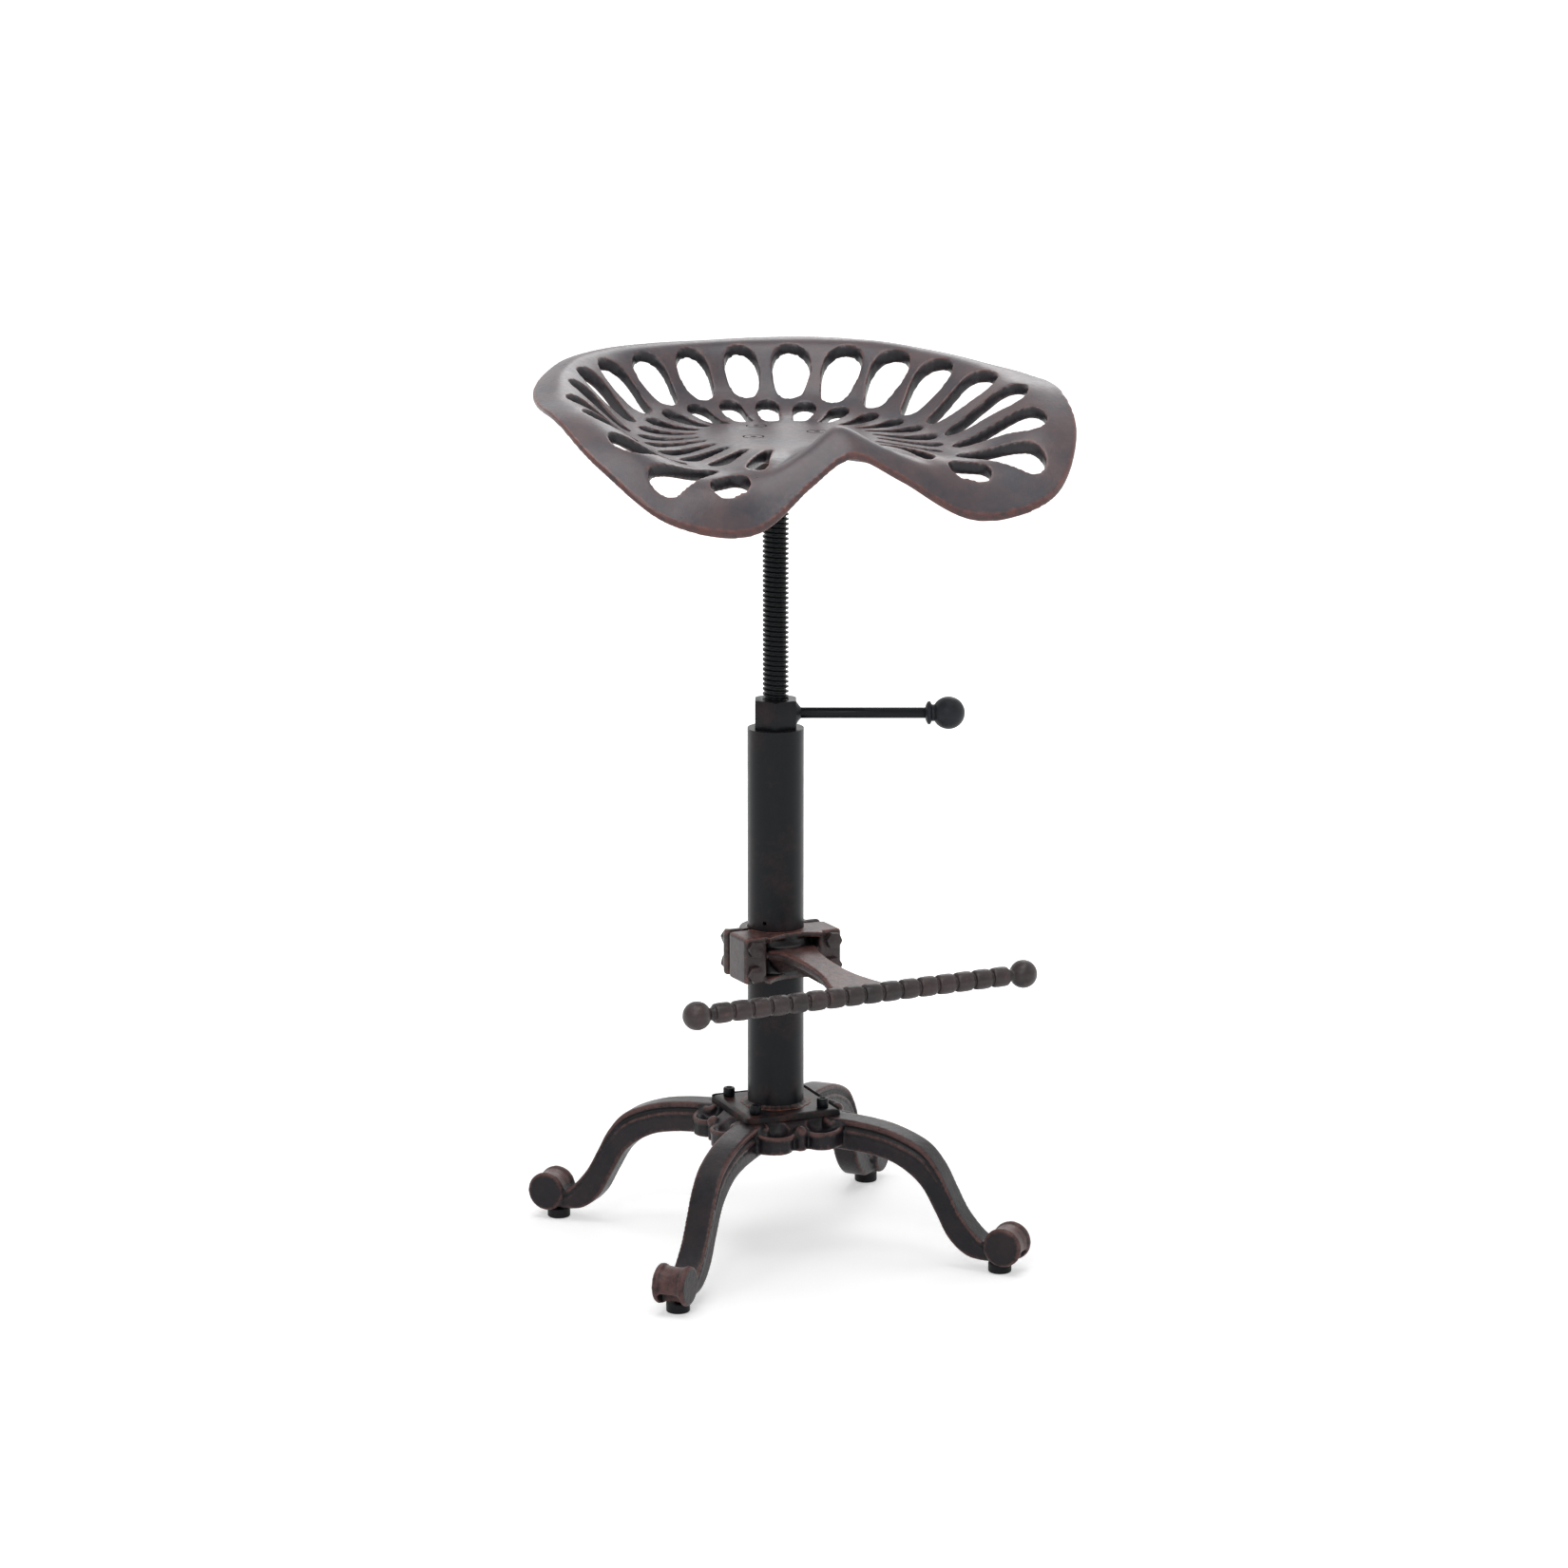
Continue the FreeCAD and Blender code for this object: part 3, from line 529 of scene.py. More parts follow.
# From the back: direction and radius of the inner end, radius of the outer end, half widths
# at the two ends, direction of the outer end
inner_slots = [(0, 90, 137, 7, 10, 0), (14.4, 88, 136, 6.5, 9.8, 14.4),
               (29.2, 85, 133, 5.5, 9.8, 29.2),
               (43.8, 82, 129, 4.5, 9, 43.8), (58.6, 78, 125.5, 4, 8.5, 58.6),
               (73.4, 74, 124.5, 3.5, 8.5, 73.4), (88, 72, 125, 3.5, 8.5, 88),
               (102.8, 73, 127.5, 3.5, 9, 102.8), (117.5, 76, 131, 3.5, 9.5, 117.5),
               (132.5, 79, 137, 3.5, 9.5, 132.5), (148, 85, 148, 3.5, 8.5, 148)]
outer_slots = [(7.9, 139, 175, 12.5, 15, 8), (23.1, 137.5, 178.5, 12.5, 16.5, 23.4),
               (38.6, 134.5, 180.5, 12, 17.5, 39), (54.8, 132, 181, 10.5, 18.5, 54.6),
               (71.5, 131, 182, 9.5, 18.5, 71), (87.5, 131.5, 193, 9.5, 18, 88.5),
               (104.5, 134.5, 204, 9.5, 17, 104.8), (120.5, 140, 217.5, 9, 17, 118.5),
               (134.2, 152, 224, 7.5, 13.5, 130.3)]
# Middle of the right hole, half length between the centres of its ends, half width, lean
front_hole = (105.7, -164.5, 7.5, 10, -16)


def stations_at(angle):
    """The seven station values at angles from the front, in degrees, smoothly between stations."""
    last = len(dish_stations) - 1
    turn = np.abs((np.asarray(angle) + 180) % 360 - 180) / station_step
    k = np.minimum(turn.astype(int), last - 1)
    t = (turn - k)[..., None]

    def row(i):
        i = np.abs(i)
        return dish_stations[np.where(i > last, 2 * last - i, i)]

    return between(row(k - 1), row(k), row(k + 1), row(k + 2), t)


def dish_height(x, y):
    """Height of the seat's upper face over its flat middle.

    Outwards it is a smooth curve from the flat through the waist and the shoulder to the rim.
    """
    across, along = x, y - dish_y
    radius = np.hypot(across, along)
    values = stations_at(np.degrees(np.arctan2(across, -along)))
    rim_r, rim_z, shoulder_r, shoulder_z, waist_r, waist_z, _ = np.moveaxis(values, -1, 0)
    knots = [np.full_like(radius, flat_radius), waist_r, shoulder_r, rim_r]
    heights = [np.zeros_like(radius), waist_z, shoulder_z, rim_z]
    steps = [knots[k + 1] - knots[k] for k in range(3)]
    slopes = [(heights[k + 1] - heights[k]) / steps[k] for k in range(3)]
    tilts = [np.zeros_like(radius)]
    for k in (1, 2):
        weighed = slopes[k - 1] * steps[k] + slopes[k] * steps[k - 1]
        tilts.append(weighed / (steps[k - 1] + steps[k]))
    tilts.append(1.3 * slopes[2] - 0.3 * tilts[2])
    out = rim_z + (radius - rim_r) * tilts[3]
    for k in (2, 1, 0):
        t = (radius - knots[k]) / steps[k]
        start = (2 * t ** 3 - 3 * t ** 2 + 1) * heights[k]
        start_tilt = (t ** 3 - 2 * t ** 2 + t) * steps[k] * tilts[k]
        end = (3 * t ** 2 - 2 * t ** 3) * heights[k + 1]
        end_tilt = (t ** 3 - t ** 2) * steps[k] * tilts[k + 1]
        out = np.where(radius < knots[k + 1], start + start_tilt + end + end_tilt, out)
    return np.where(radius <= flat_radius, 0.0, out)


def wall_depth(x, y):
    """Upright thickness of the casting, thinner near the rim."""
    slope_x = (dish_height(x + 1, y) - dish_height(x - 1, y)) / 2
    slope_y = (dish_height(x, y + 1) - dish_height(x, y - 1)) / 2
    values = stations_at(np.degrees(np.arctan2(x, dish_y - y)))
    radius = np.hypot(x, y - dish_y)
    near_edge = np.clip(1 - (values[..., 0] - radius) / edge_band, 0, 1)
    past_flat = np.clip((radius - flat_radius) / flat_fade, 0, 1)
    wall = rest_thickness + (values[..., 6] * wall_gain - rest_thickness) * past_flat
    tilt = np.sqrt(1 + slope_x ** 2 + slope_y ** 2)
    return (wall * np.minimum(tilt, wall_steepest) * (1 - near_edge)
            + edge_thickness * np.minimum(tilt, edge_steepest) * near_edge)


def stadium(start, end, half_start, half_end, points=10):
    """Outline of a slot: two round ends of their own size joined by their tangents."""
    start, end = np.array(start), np.array(end)
    run = end - start
    base = atan2(run[1], run[0])
    lean = acos((half_start - half_end) / hypot(*run))
    angles = np.linspace(base + lean, base + 2 * pi - lean, points)
    first = [start + half_start * np.array((cos(a), sin(a))) for a in angles]
    angles = np.linspace(base - lean, base + lean, points)
    second = [end + half_end * np.array((cos(a), sin(a))) for a in angles]
    return first + second


def from_dish(angle, radius):
    """A point at an angle from the back about the dish centre."""
    return radius * sin(radians(angle)), dish_y + radius * cos(radians(angle))


def slot_outlines():
    """Outlines of the slots, most of them on both sides, and of the two holes at the front."""
    outlines = []
    for near, inner, outer, half_in, half_out, far in inner_slots + outer_slots:
        for side in (-1, 1) if near else (1,):
            start = from_dish(side * near, inner + half_in)
            end = from_dish(side * far, outer - half_out)
            outlines.append(stadium(start, end, half_in, half_out))
    x, y, reach, half, lean = front_hole
    middle = np.array((x, y))
    step = np.array((reach * cos(radians(lean)), reach * sin(radians(lean))))
    for side in (-1, 1):
        mirror = np.array((side, 1))
        outlines.append(stadium(mirror * (middle - step), mirror * (middle + step), half, half))
    return outlines


def seat():
    """The seat is cut and cast flat, and then lifted into its dish with its wall under it."""
    rim = []
    for angle in range(0, 360, 2):
        radius, turn = float(stations_at(float(angle))[0]), radians(angle)
        rim.append((radius * sin(turn), dish_y - radius * cos(turn)))
    plate = slab("seat", rim, -rest_thickness, 0)
    cutters = [slab("slot", outline, -slot_cut, slot_cut) for outline in slot_outlines()]
    less(plate, joined("slots", cutters))
    cast(plate, seat_grain, passes=3)
    sinks = []
    for turn in screw_turns:
        x, y = screw_circle * cos(radians(turn)), screw_circle * sin(radians(turn))
        sinks.append(moved(lathed("countersink", countersink), x, y, 0))
    less(plate, joined("countersinks", sinks))
    shaded(plate, 50)
    where, upward = spots(plate), facing(plate)[:, 2]
    x, y, z = where.T
    rim_radius = stations_at(np.degrees(np.arctan2(x, dish_y - y)))[:, 0]
    inset = rim_radius - np.hypot(x, y - dish_y)
    depth = np.clip(-z / rest_thickness, 0, 1)
    where[:, 2] = seat_flat + dish_height(x, y) - depth * wall_depth(x, y)
    placed(plate, where)
    rim_wear = 0.35 * np.clip((3.5 - inset) / 2, 0, 1)
    mark_raised(plate, 0.5, blur=3, wear_and_painted_light=lambda _: rim_wear)
    # Slot walls away from the rim, marked for painted shade.
    note(plate, "wall", np.clip(1.25 - np.abs(upward) * 1.4, 0, 1) * (inset > 7))
    return plate


# Screw spindle

# Parts of a pitch: half of the crest, and the slope beside it
crest_half = 0.17
flank_run = 0.1


def spindle():
    """The threaded bar: the radius of each ring follows the thread round it."""
    segments, rings_per_turn = 40, 10
    low, high = spindle_low[2], spindle_high[2]
    rows = int((high - low) / thread_pitch * rings_per_turn)
    heights = np.linspace(low, high, rows)[:, None]
    angles = np.arange(segments) * 2 * pi / segments
    phase = (heights / thread_pitch + angles / (2 * pi)) % 1.0
    flank = np.clip((np.abs(phase - 0.5) - crest_half) / flank_run, 0, 1)
    radius = crest_radius - thread_depth * flank
    rings = np.stack([radius * np.cos(angles), radius * np.sin(angles),
                      np.broadcast_to(heights, radius.shape)], axis=-1)
    return shaded(skin("spindle_thread", rings), 38)


# Base casting

# The leg's top and underside: distance out, height
leg_top = [(44, 122.2), (60, 122.2), (85, 120.8), (112, 116.0), (139, 104.5), (154.5, 87.5),
           (164.5, 69.0), (175.5, 49.0), (191, 31.5), (206, 23.5)]
leg_under = [(44, 95.0), (64, 94.5), (92, 92.5), (116, 86.5), (138, 71.0), (152, 48.5),
             (164, 27.0), (180, 13.5), (197, 10.5), (210, 12.0)]
# Section of the leg down its side: depth below the top, half width
leg_section = [(0.0, 9.0), (0.4, 11.2), (1.6, 12.0), (4.4, 12.0), (5.6, 10.4), (6.6, 9.0),
               (8.8, 9.0), (9.8, 11.4), (12.4, 11.4), (13.4, 9.2)]
leg_web = 10.9
leg_rings = 56
scroll_out = 214.5
scroll_radius = 17.0
scroll_waist = 14.6
scroll_half = 14.5
hub_half = 42
hub_under = hub_top - 23
base_grain = 1.35
# Half of the skirt's outline from above
skirt_half = [(41, -40), (42.5, -47), (41, -54), (36, -60), (29, -65), (22, -67), (15, -66),
              (10, -62), (7, -57), (5.2, -58), (3, -61.5), (0, -62.5)]
skirt_back = [(-41, -30), (41, -30)]
# The cord on its rim, from beside the bud out and round into the curl
skirt_rim = [(6.5, -56.5, 113.5), (9, -61, 113), (14, -64.5, 112.6), (22, -65.5, 112.5),
             (30, -63, 113), (37, -57, 114.5), (40.5, -50, 117), (39.5, -43.5, 119.5),
             (34, -40.5, 120.5), (29, -43.5, 120.3), (28, -49, 119), (31.5, -52.5, 118.2),
             (35, -50, 118.6)]
rim_cord = 2.4
# The skirt's top falls from the plate's edge to this height at this distance out
skirt_edge = 64.0
skirt_edge_height = 112.0


def leg():
    """One leg along +X with its scroll foot."""
    rings = []
    for high, low in zip(smooth_line(leg_top, leg_rings), smooth_line(leg_under, leg_rings)):
        depth = hypot(*(high - low))
        down = (low - high) / depth
        fit = min(1, (depth - 3.5) / 16)
        profile = [(d * fit, w) for d, w in leg_section + [(15.5, leg_web)]]
        profile += [(depth - 3.0, leg_web), (depth - 1.0, leg_web - 0.6), (depth, leg_web - 2.2)]
        side = [(high[0] + down[0] * d, w, high[1] + down[1] * d) for d, w in profile]
        rings.append(side + [(x, -w, z) for x, w, z in reversed(side)])
    shank = skin("leg", rings)
    half, rim = scroll_half, scroll_radius
    profile = [(-half, 2.0), (-half, rim - 1.5), (-half + 1.5, rim), (-half + 4.5, rim),
               (-half + 6.0, rim - 1.4), (0, scroll_waist)]
    profile += [(-h, r) for h, r in reversed(profile[:-1])]
    roll = aimed(lathed("scroll", profile), (scroll_out, 0, glide_high + rim), (0, 1, 0))
    tongue = chest("tongue", (scroll_out + 2, -half + 4.2, glide_high - 2),
                   (scroll_out + 30, half - 4.2, glide_high + rim - 5.5))
    less(roll, tongue)
    return joined("leg", [shank, roll])


def skirt():
    """One side of the hub: two curled ends with a bud between them, scooped behind the rim."""
    outline = skirt_half + [(-x, y) for x, y in reversed(skirt_half[:-1])]
    body = slab("skirt", outline + skirt_back, hub_under, hub_top + 8)
    slope = (hub_top - skirt_edge_height) / (skirt_edge - plate_half)
    bpy.ops.mesh.primitive_cube_add(size=1)
    lid = named("lid")
    placed(lid, [(x, y, hub_top - 0.6 + slope * (y + plate_half) + up)
                 for x in (-90, 90) for y in (-90, 0) for up in (0, 40)])
    less(body, lid)
    pieces = [body]
    line = smooth_line(skirt_rim, 60)
    for side in (-1, 1):
        bpy.ops.mesh.primitive_uv_sphere_add(
            radius=13 * MM, segments=48, ring_count=24,
            location=(side * 20.5 * MM, -53.5 * MM, (hub_top + 1.0) * MM))
        less(body, settle(named("scoop")))
        pieces.append(cord_round("rim", line * np.array((side, 1, 1)), rim_cord))
        boss = lathed("boss", [(hub_under + 2, 8.2), (hub_top - 4.0, 8.2), (hub_top - 3.0, 6.8)],
                      32)
        pieces.append(moved(boss, side * 33.5, -47.5, 0))
    bud = lathed("bud", [(hub_under + 1, 4.4), (107, 4.8), (110, 3.2), (112.5, 5.0),
                         (115.5, 6.0), (118.6, 4.4), (121.0, 1.0)], 24)
    return joined("skirt", pieces + [moved(bud, 0, -57.5, 0)])


def base():
    """The hub, four legs and four skirts in one casting, with a rebate for the flange plate."""
    hub = chest("hub", (-hub_half, -hub_half, hub_under), (hub_half, hub_half, hub_top))
    pieces = [hub]
    one_leg, one_skirt = leg(), skirt()
    for quarter in range(4):
        pieces.append(turned(copied(one_leg), 45 + 90 * quarter))
        pieces.append(turned(copied(one_skirt), 90 * quarter))
    for spare in (one_leg, one_skirt):
        bpy.data.objects.remove(spare)
    casting = joined("base", pieces)
    reach = plate_half + 0.6
    rebate = chest("rebate", (-reach, -reach, hub_top), (reach, reach, hub_top + 30))
    cast(casting, base_grain, passes=2)
    less(casting, rebate)
    shaded(casting, 50)
    # Upward faces get a painted highlight with some wear.
    mark_raised(casting, 0.45, blur=5, top_highlight_and_rub=0.12, wear_and_painted_light=scroll_wear)
    return casting


def scroll_wear(where):
    """Wear in the hollow of each scroll foot, between its two flanges."""
    x, y, z = where.T
    wear = np.zeros(len(where))
    for quarter in range(4):
        turn = radians(45 + 90 * quarter)
        out = x * cos(turn) + y * sin(turn)
        side = y * cos(turn) - x * sin(turn)
        away = np.hypot(out - scroll_out, z - glide_high - scroll_radius)
        inside = np.clip((scroll_half - 3 - np.abs(side)) / 4, 0, 1)
        wear += 0.55 * inside * (away < scroll_radius + 1)
    return wear


# Flange plate, its screws and the weld

plate_corner = 6.0
plate_screw_out = 31
weld_width = 6.0
weld_height = 4.0


def flange_plate():
    """The square plate, its upright edges well rounded and the others a little."""
    plate = chest("plate", plate_low, plate_high)
    take(plate)
    bpy.ops.object.mode_set(mode="EDIT")
    bpy.ops.mesh.select_all(action="DESELECT")
    bpy.ops.object.mode_set(mode="OBJECT")
    for edge in plate.data.edges:
        a, b = (plate.data.vertices[i].co for i in edge.vertices)
        edge.select = abs(a.z - b.z) > MM
    bpy.ops.object.mode_set(mode="EDIT")
    bpy.ops.mesh.bevel(offset=plate_corner * MM, segments=6)
    bpy.ops.object.mode_set(mode="OBJECT")
    return soft_edges(plate, 1.1)


def hexagonal(name, flats, height, chamfer=0.0, turn=0.0):
    """A hexagonal prism standing on Z, its corners cut back at the top."""
    reach = flats / sqrt(3)
    bpy.ops.mesh.primitive_cylinder_add(
        vertices=6, radius=reach * MM, depth=height * MM,
        location=(0, 0, height / 2 * MM), rotation=(0, 0, radians(turn)))
    piece = settle(named(name))
    if chamfer:
        crown = lathed("crown", [(-1, reach + 1), (height - chamfer * 0.6, reach + 0.4),
                                 (height, reach - chamfer), (height + 0.01, 0.5)])
        worked(piece, "BOOLEAN", operation="INTERSECT", object=crown, solver="EXACT")
        bpy.data.objects.remove(crown)
    return piece


def plate_screws():
    """Four socket screws, one at each corner of the plate."""
    top = plate_top
    screw = lathed("screw", [(top, 4.2), (top + 0.4, 5.0), (top + 7.2, 5.0), (top + 8.0, 4.3)], 32)
    less(screw, moved(hexagonal("key", 5.0, 6), 0, 0, top + 4.5))
    soft_edges(screw, 0.25, 2)
    places = (-plate_screw_out, plate_screw_out)
    screws = [moved(copied(screw), x, y, 0) for x in places for y in places]
    bpy.data.objects.remove(screw)
    return joined("flange_screw_heads", screws)


def foot_weld():
    """A lumpy fillet round the foot of the tube."""
    around = np.arange(96) * 2 * pi / 96
    lumps = (0.35 * np.sin(around * 23) + 0.3 * np.sin(around * 37 + 1)
             + 0.25 * np.sin(around * 11 + 2))
    rings = []
    for share in np.linspace(0, 1, 7):
        bend = share * pi / 2
        out = (tube_radius - 0.6) + (weld_width + lumps * 1.8) * (1 - sin(bend))
        high = column_foot + weld_height * (1 - cos(bend)) + 0.2 + lumps * 0.3 * share
        rings.append(np.stack([out * np.cos(around), out * np.sin(around), high], -1))
    piece = smooth(skin("weld_bead", rings))
    mark_raised(piece, 0.2)
    return piece


# Lock nut and lever

nut_flats = 35.0
lever_axis = Vector((cos(radians(lever_direction)), sin(radians(lever_direction)), 0))


def on_lever(piece):
    """Lays a piece that stands on Z along the lever, out from the spindle's axis."""
    return aimed(piece, (0, 0, lever_height), lever_axis)


def lock_nut():
    """A hexagonal nut with a boss for the lever on one flat, bored for the spindle."""
    low, high, flat = nut_low[2], nut_high[2], nut_flats / 2
    nut = hexagonal("lock_nut_body", nut_flats, high - low, chamfer=1.6, turn=lever_direction)
    moved(nut, 0, 0, low)
    boss = on_lever(lathed("boss", [(flat - 3, 10.4), (flat, 9.8), (flat + 2.4, 6.6),
                                    (flat + 4.2, 4.5)], 32))
    soft_edges(nut, 0.7)
    worked(nut, "BOOLEAN", operation="UNION", object=boss, solver="EXACT")
    bpy.data.objects.remove(boss)
    bore = crest_radius + 0.05
    less(nut, lathed("bore", [(low - 2, bore), (high + 2, bore)]))
    return shaded(nut, 35)


def lever():
    """The lever's rod."""
    rod = lathed("lever_bar", [(19.5, 4.1), (20.5, 4.7), (128, 4.7), (129, 4.1)], 24)
    return shaded(on_lever(rod), 35)


def knob():
    """Ball with a thin collar ahead of it."""
    profile = [(127.0, 3.9), (127.2, 5.4), (128.0, 7.6), (129.2, 9.6), (130.4, 10.2),
               (131.6, 9.8), (132.4, 8.2), (133.0, 7.2)]
    profile += ball_end(centre=147.0, ball=14.0, neck=7.2, last=0.995, count=24)
    return shaded(on_lever(lathed("knob", profile)), 50)


# Footrest

bar_out = 160.0
bar_height = 260.0
bead_count = 16
bead_pitch = 17.4
clamp_half_width = 46.0
clamp_front = 34.0
block_width = 21.0
block_round = 2.6
cheek = 4.4
scoop_depth = 10
clamp_gap = 1.5
bore_play = 0.3
back_front = 3.0
back_face = 11.0
bolt_out = 37
bolt_rise = 11
bolt_flats = 13
clamp_grain = 1.0
clamp_under = clamp_low[2]
clamp_over = clamp_high[2]
# The arm: distance out, height of the top, half width, thickness
arm_stations = [(26, 271.0, 25, 22), (31, 271.0, 24, 20), (37, 271.3, 21.5, 17),
                (46, 271.5, 18.0, 14), (60, 271.0, 15.5, 14.5), (80, 269.8, 13.8, 14.5),
                (100, 268.4, 14.2, 13.5), (120, 267.2, 17.0, 11.5), (138, 266.3, 22.0, 9.5),
                (150, 266.0, 25.5, 8.5), (160, 265.8, 27.0, 8)]
# Half a bead: distance from its end, radius
bead_end = [(0.01, 5.9), (0.9, 6.1), (1.3, 7.3), (1.9, 7.9), (2.6, 8.2), (3.6, 8.35),
            (5.0, 8.5), (6.8, 8.6)]


def footrest_arm():
    """The arm from the clamp to the bar, its edges rounded, with a rib that dies out under it."""
    rings = []
    for out, top, half, deep in smooth_line(arm_stations, 50):
        side = [(0, 0), (half - 3.2, 0), (half - 0.9, -0.9), (half, -3.0),
                (half - 0.4, -min(deep * 0.55, 6.5)), (half - 2.6, -min(deep * 0.8, 8.0)),
                (half * 0.45, -deep), (0, -deep)]
        other = [(-w, h) for w, h in reversed(side[1:-1])]
        rings.append([(w, -out, top + h) for w, h in side + other])
    return skin("arm", rings)


def footrest_bar():
    """Barrel beads with fine grooves between, a neck and a ball at each end."""
    half = []
    beads = bead_count // 2
    for k in range(beads):
        start = k * bead_pitch
        half += [(start + step, radius) for step, radius in bead_end]
        half += [(start + bead_pitch - step, radius) for step, radius in reversed(bead_end)]
    end = beads * bead_pitch
    half += [(end, 5.6), (end + 2.5, 5.0)]
    half += ball_end(centre=153.5, ball=12.0, neck=5.4, last=0.99, count=20)
    piece = lathed("beads", [(-h, r) for h, r in reversed(half)] + half)
    mark_raised(piece, 0.8)
    return aimed(piece, (0, -bar_out, bar_height), (1, 0, 0))


def clamp_front_half():
    """Two bolt blocks, two cheeks scooped out between them, and the half ring on the tube."""
    inner = clamp_half_width - block_width
    pieces = []
    for side in (-1, 1):
        low, high = sorted((side * inner, side * clamp_half_width))
        block = chest("bolt_block", (low, -clamp_front, clamp_under),
                      (high, -clamp_gap, clamp_over))
        pieces.append(soft_edges(block, block_round))
    radius = (inner ** 2 + scoop_depth ** 2) / (2 * scoop_depth)
    lean = acos((radius - scoop_depth) / radius)
    scoop = [(radius * sin(share * lean), -clamp_front - radius + 4 + radius * cos(share * lean))
             for share in np.linspace(-1, 1, 13)]
    edge = inner + 2
    outline = [(-edge, -2), (-edge, -clamp_front)] + scoop + [(edge, -clamp_front), (edge, -2)]
    pieces.append(slab("lower_cheek", outline, clamp_under, clamp_under + cheek))
    pieces.append(slab("upper_cheek", outline, clamp_over - cheek, clamp_over))
    outside = tube_radius + 6.3
    hug = lathed("hug", [(clamp_under + 1, outside), (clamp_over - 1, outside)], 64)
    pieces.append(less(hug, chest("behind", (-60, -clamp_gap, 200), (60, 60, 320))))
    return pieces


def bored(piece):
    """Bores a half of the clamp for the tube, with a little play."""
    radius = tube_radius + bore_play
    return less(piece, lathed("bore", [(clamp_under - 5, radius), (clamp_over + 5, radius)], 96))


def pocket_shade(where):
    """Painted shade in the pockets between the bolt blocks."""
    x, y, z = where.T
    inside = (np.abs(x) < clamp_half_width - block_width + 0.6) & (-y < clamp_front - 3.5)
    inside &= (z > clamp_under + 3.2) & (z < clamp_over - 3.2)
    arm = (-y > tube_radius + 7.5) & (z > 250) & (z < 272.5) & (np.abs(x) < 24)
    return -1.0 * (inside & ~arm)


def footrest():
    """The front half of the clamp with its arm in one casting, and the beaded bar."""
    casting = joined("footrest", clamp_front_half() + [footrest_arm()])
    cast(casting, clamp_grain, passes=3)
    bored(casting)
    # Upward faces get a painted highlight with wear, and the pockets get painted shade.
    mark_raised(casting, 0.3, blur=3, top_highlight_and_rub=0.4, wear_and_painted_light=pocket_shade)
    casting = joined("footrest", [casting, footrest_bar()])
    return shaded(turned(casting, footrest_turn), 50)


def clamp_back():
    """The back half of the clamp: two ears and the other half ring."""
    ears = chest("ears", (-clamp_half_width, back_front, clamp_under),
                 (clamp_half_width, back_face, clamp_over))
    soft_edges(ears, 3.5, 4)
    outside = tube_radius + 7.3
    shell = lathed("shell", [(clamp_under, outside - 0.9), (clamp_under + 1.2, outside),
                             (clamp_over - 1.2, outside), (clamp_over, outside - 0.9)], 96)
    less(shell, chest("front", (-60, -60, 200), (60, back_front, 320)))
    back = joined("clamp_back", [ears, shell])
    cast(back, clamp_grain, passes=3)
    bored(back)
    shaded(turned(back, footrest_turn), 50)
    mark_raised(back, 0.3, blur=3)
    return back


def clamp_fasteners():
    """Bolt heads in front, nuts and bolt ends behind, each left at a turn of its own."""
    bolts = []
    for x in (-bolt_out, bolt_out):
        for rise in (-bolt_rise, bolt_rise):
            height = clamp_middle + rise
            head = hexagonal("head", bolt_flats, 5.3, chamfer=0.9, turn=17 * x + rise * 5)
            soft_edges(head, 0.35, 2)
            aimed(head, (x, -clamp_front, height), (0, -1, 0))
            nut = hexagonal("nut", bolt_flats, 6.5, chamfer=0.9, turn=9 * x + rise)
            soft_edges(nut, 0.35, 2)
            aimed(nut, (x, back_face, height), (0, 1, 0))
            tip = lathed("tip", [(10, 3.9), (20.0, 3.9), (20.5, 3.3)], 24)
            aimed(tip, (x, 0, height), (0, 1, 0))
            bolts += [head, nut, tip]
    fasteners = joined("clamp_fasteners", bolts)
    mark_raised(fasteners, 3.0)
    return turned(fasteners, footrest_turn)


# Dressing

def painted(piece, finish):
    piece.data.materials.clear()
    piece.data.materials.append(finish)


def dressed(piece, finish, body, *stood_for):
    """Gives a piece its finish and body, and hides the CAD nodes it stands for."""
    painted(piece, finish)
    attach(piece, body)
    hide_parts(*stood_for)


dressed(seat(), seat_finish, "seat", "seat_casting")
dressed(spindle(), screw_finish, "seat", "spindle")
dressed(base(), base_finish, "stand", "base_casting")
dressed(flange_plate(), plate_finish, "stand", "flange_plate")
dressed(plate_screws(), screw_finish, "stand", "flange_screws")
dressed(foot_weld(), weld_finish, "stand", "foot_weld")
dressed(lock_nut(), tube_finish, "lock", "lock_nut")
dressed(lever(), tube_finish, "lock", "lever_rod")
dressed(knob(), knob_finish, "lock", "lever_knob")
dressed(footrest(), clamp_finish, "footrest", "footrest_casting")
dressed(clamp_back(), clamp_finish, "footrest", "clamp_back_half")
dressed(clamp_fasteners(), clamp_finish, "footrest", "clamp_bolts", "clamp_nuts")

for finish, nodes in (
        (tube_finish, ("column_tube",)),
        (plate_finish, ("thread_bush", "mount_flange")),
        (screw_finish, ("stop_washer", "stop_screw")),
        (seat_finish, ("seat_screws",)),
        (moulded, ("guide_ring", "glide_front_left", "glide_front_right", "glide_back_left",
                   "glide_back_right"))):
    for node in nodes:
        painted(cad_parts[node], finish)


# Room, lamps and camera, in metres

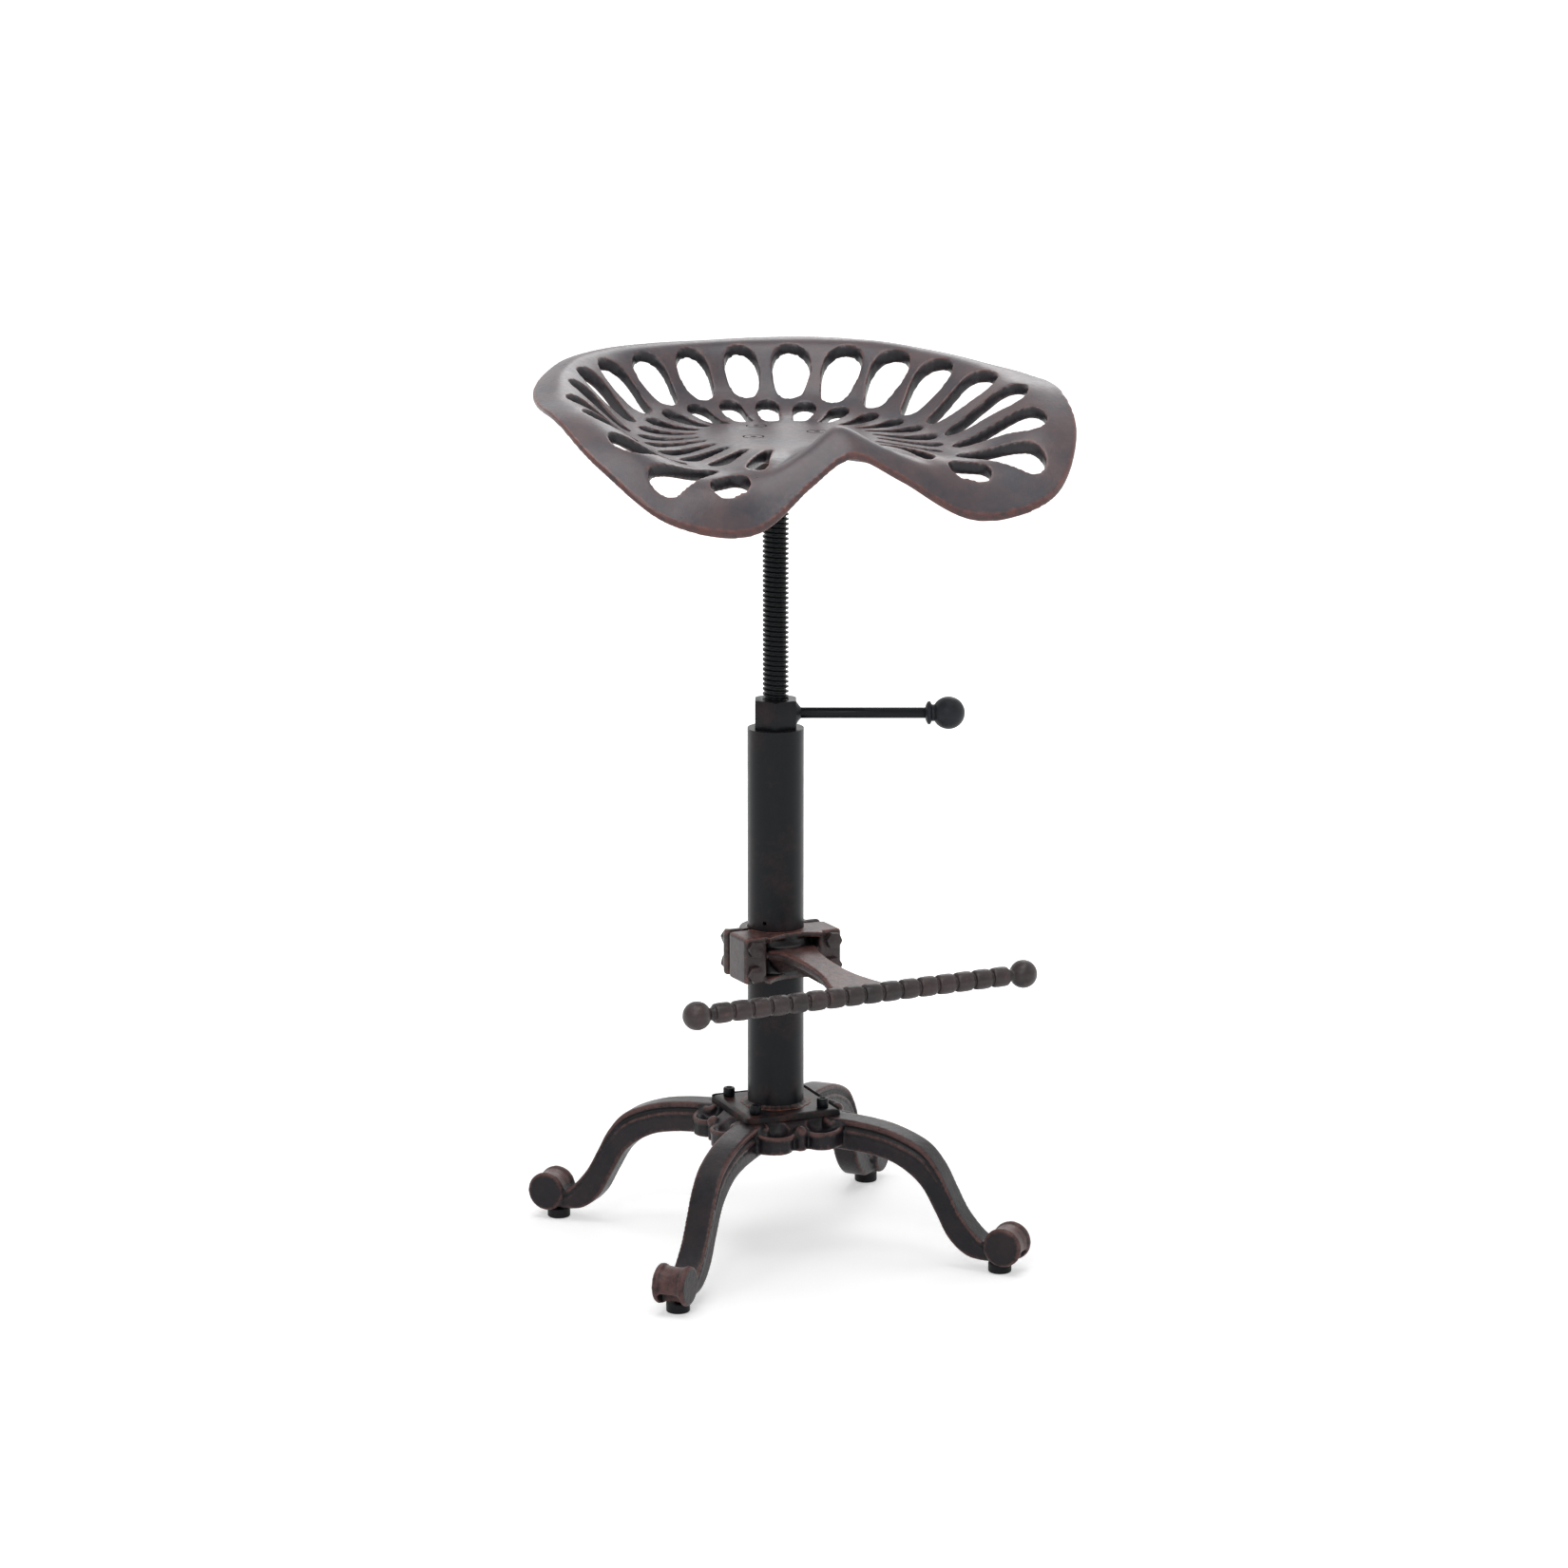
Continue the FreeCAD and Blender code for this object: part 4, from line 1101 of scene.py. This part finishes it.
def room():
    """A pale floor that keeps the shadow and fades into white, and a white surround."""
    bpy.ops.mesh.primitive_plane_add(size=60)
    floor = named("floor")
    paint = Paint("pale_floor", Roughness=0.9, Base_Color=(0.86, 0.86, 0.86, 1),
                  Emission_Strength=1.0)
    far = paint.node("VectorMath", {0: paint.place}, output="Value", operation="LENGTH")
    glow = far.steps((0.0, 0.44), (0.55, 0.46), (1.0, 1.0))
    seen = (paint.node("LightPath", output="Is Camera Ray")
            + paint.node("LightPath", output="Is Glossy Ray"))
    paint.set(Emission_Color=glow * seen)
    painted(floor, paint.finish)
    world = bpy.data.worlds.new("studio")
    bpy.context.scene.world = world
    world.use_nodes = True
    surround = Nodes(world.node_tree)
    background = world.node_tree.nodes["Background"]
    lighting = surround.node("LightPath", output="Is Diffuse Ray")
    surround.feed(background.inputs["Strength"], 1.0 - lighting * 0.7)
    surround.feed(background.inputs["Color"], (1, 1, 1, 1))


def lamp(name, place, target, size, power):
    """A square soft light of so many watts, turned to a target."""
    bpy.ops.object.light_add(type="AREA", location=place)
    light = bpy.context.active_object
    light.name = name
    light.data.shape = "SQUARE"
    light.data.size = size
    light.data.energy = power
    light.rotation_euler = (Vector(target) - Vector(place)).to_track_quat("-Z", "Y").to_euler()


def camera():
    """The photograph's viewpoint, to the left of the seat's front."""
    away, height, turn, tip = 4.508, 1.3953, radians(-21.97), radians(12.3)
    photo_size, focal, sensor = 1650, 5694, 36
    data = bpy.data.cameras.new("camera")
    view = bpy.data.objects.new("camera", data)
    bpy.context.scene.collection.objects.link(view)
    view.location = (away * sin(turn), -away * cos(turn), height)
    view.rotation_euler = (pi / 2 - tip, 0, turn)
    data.sensor_width = sensor
    data.lens = focal / photo_size * sensor
    data.shift_x = 8.8 / photo_size
    data.shift_y = -5.0 / photo_size
    bpy.context.scene.camera = view


room()
lamp("top", place=(-0.2, -0.3, 3.0), target=(0, 0, 0.5), size=2.0, power=44)
lamp("key", place=(-1.8, -2.6, 2.6), target=(0, 0, 0.5), size=1.0, power=24)
lamp("back", place=(1.7, 2.6, 2.2), target=(0, 0, 0.6), size=1.6, power=15)
lamp("fill", place=(2.8, -1.0, 1.6), target=(0, 0, 0.4), size=1.4, power=6)
camera()
bpy.context.scene.view_settings.view_transform = "Standard"
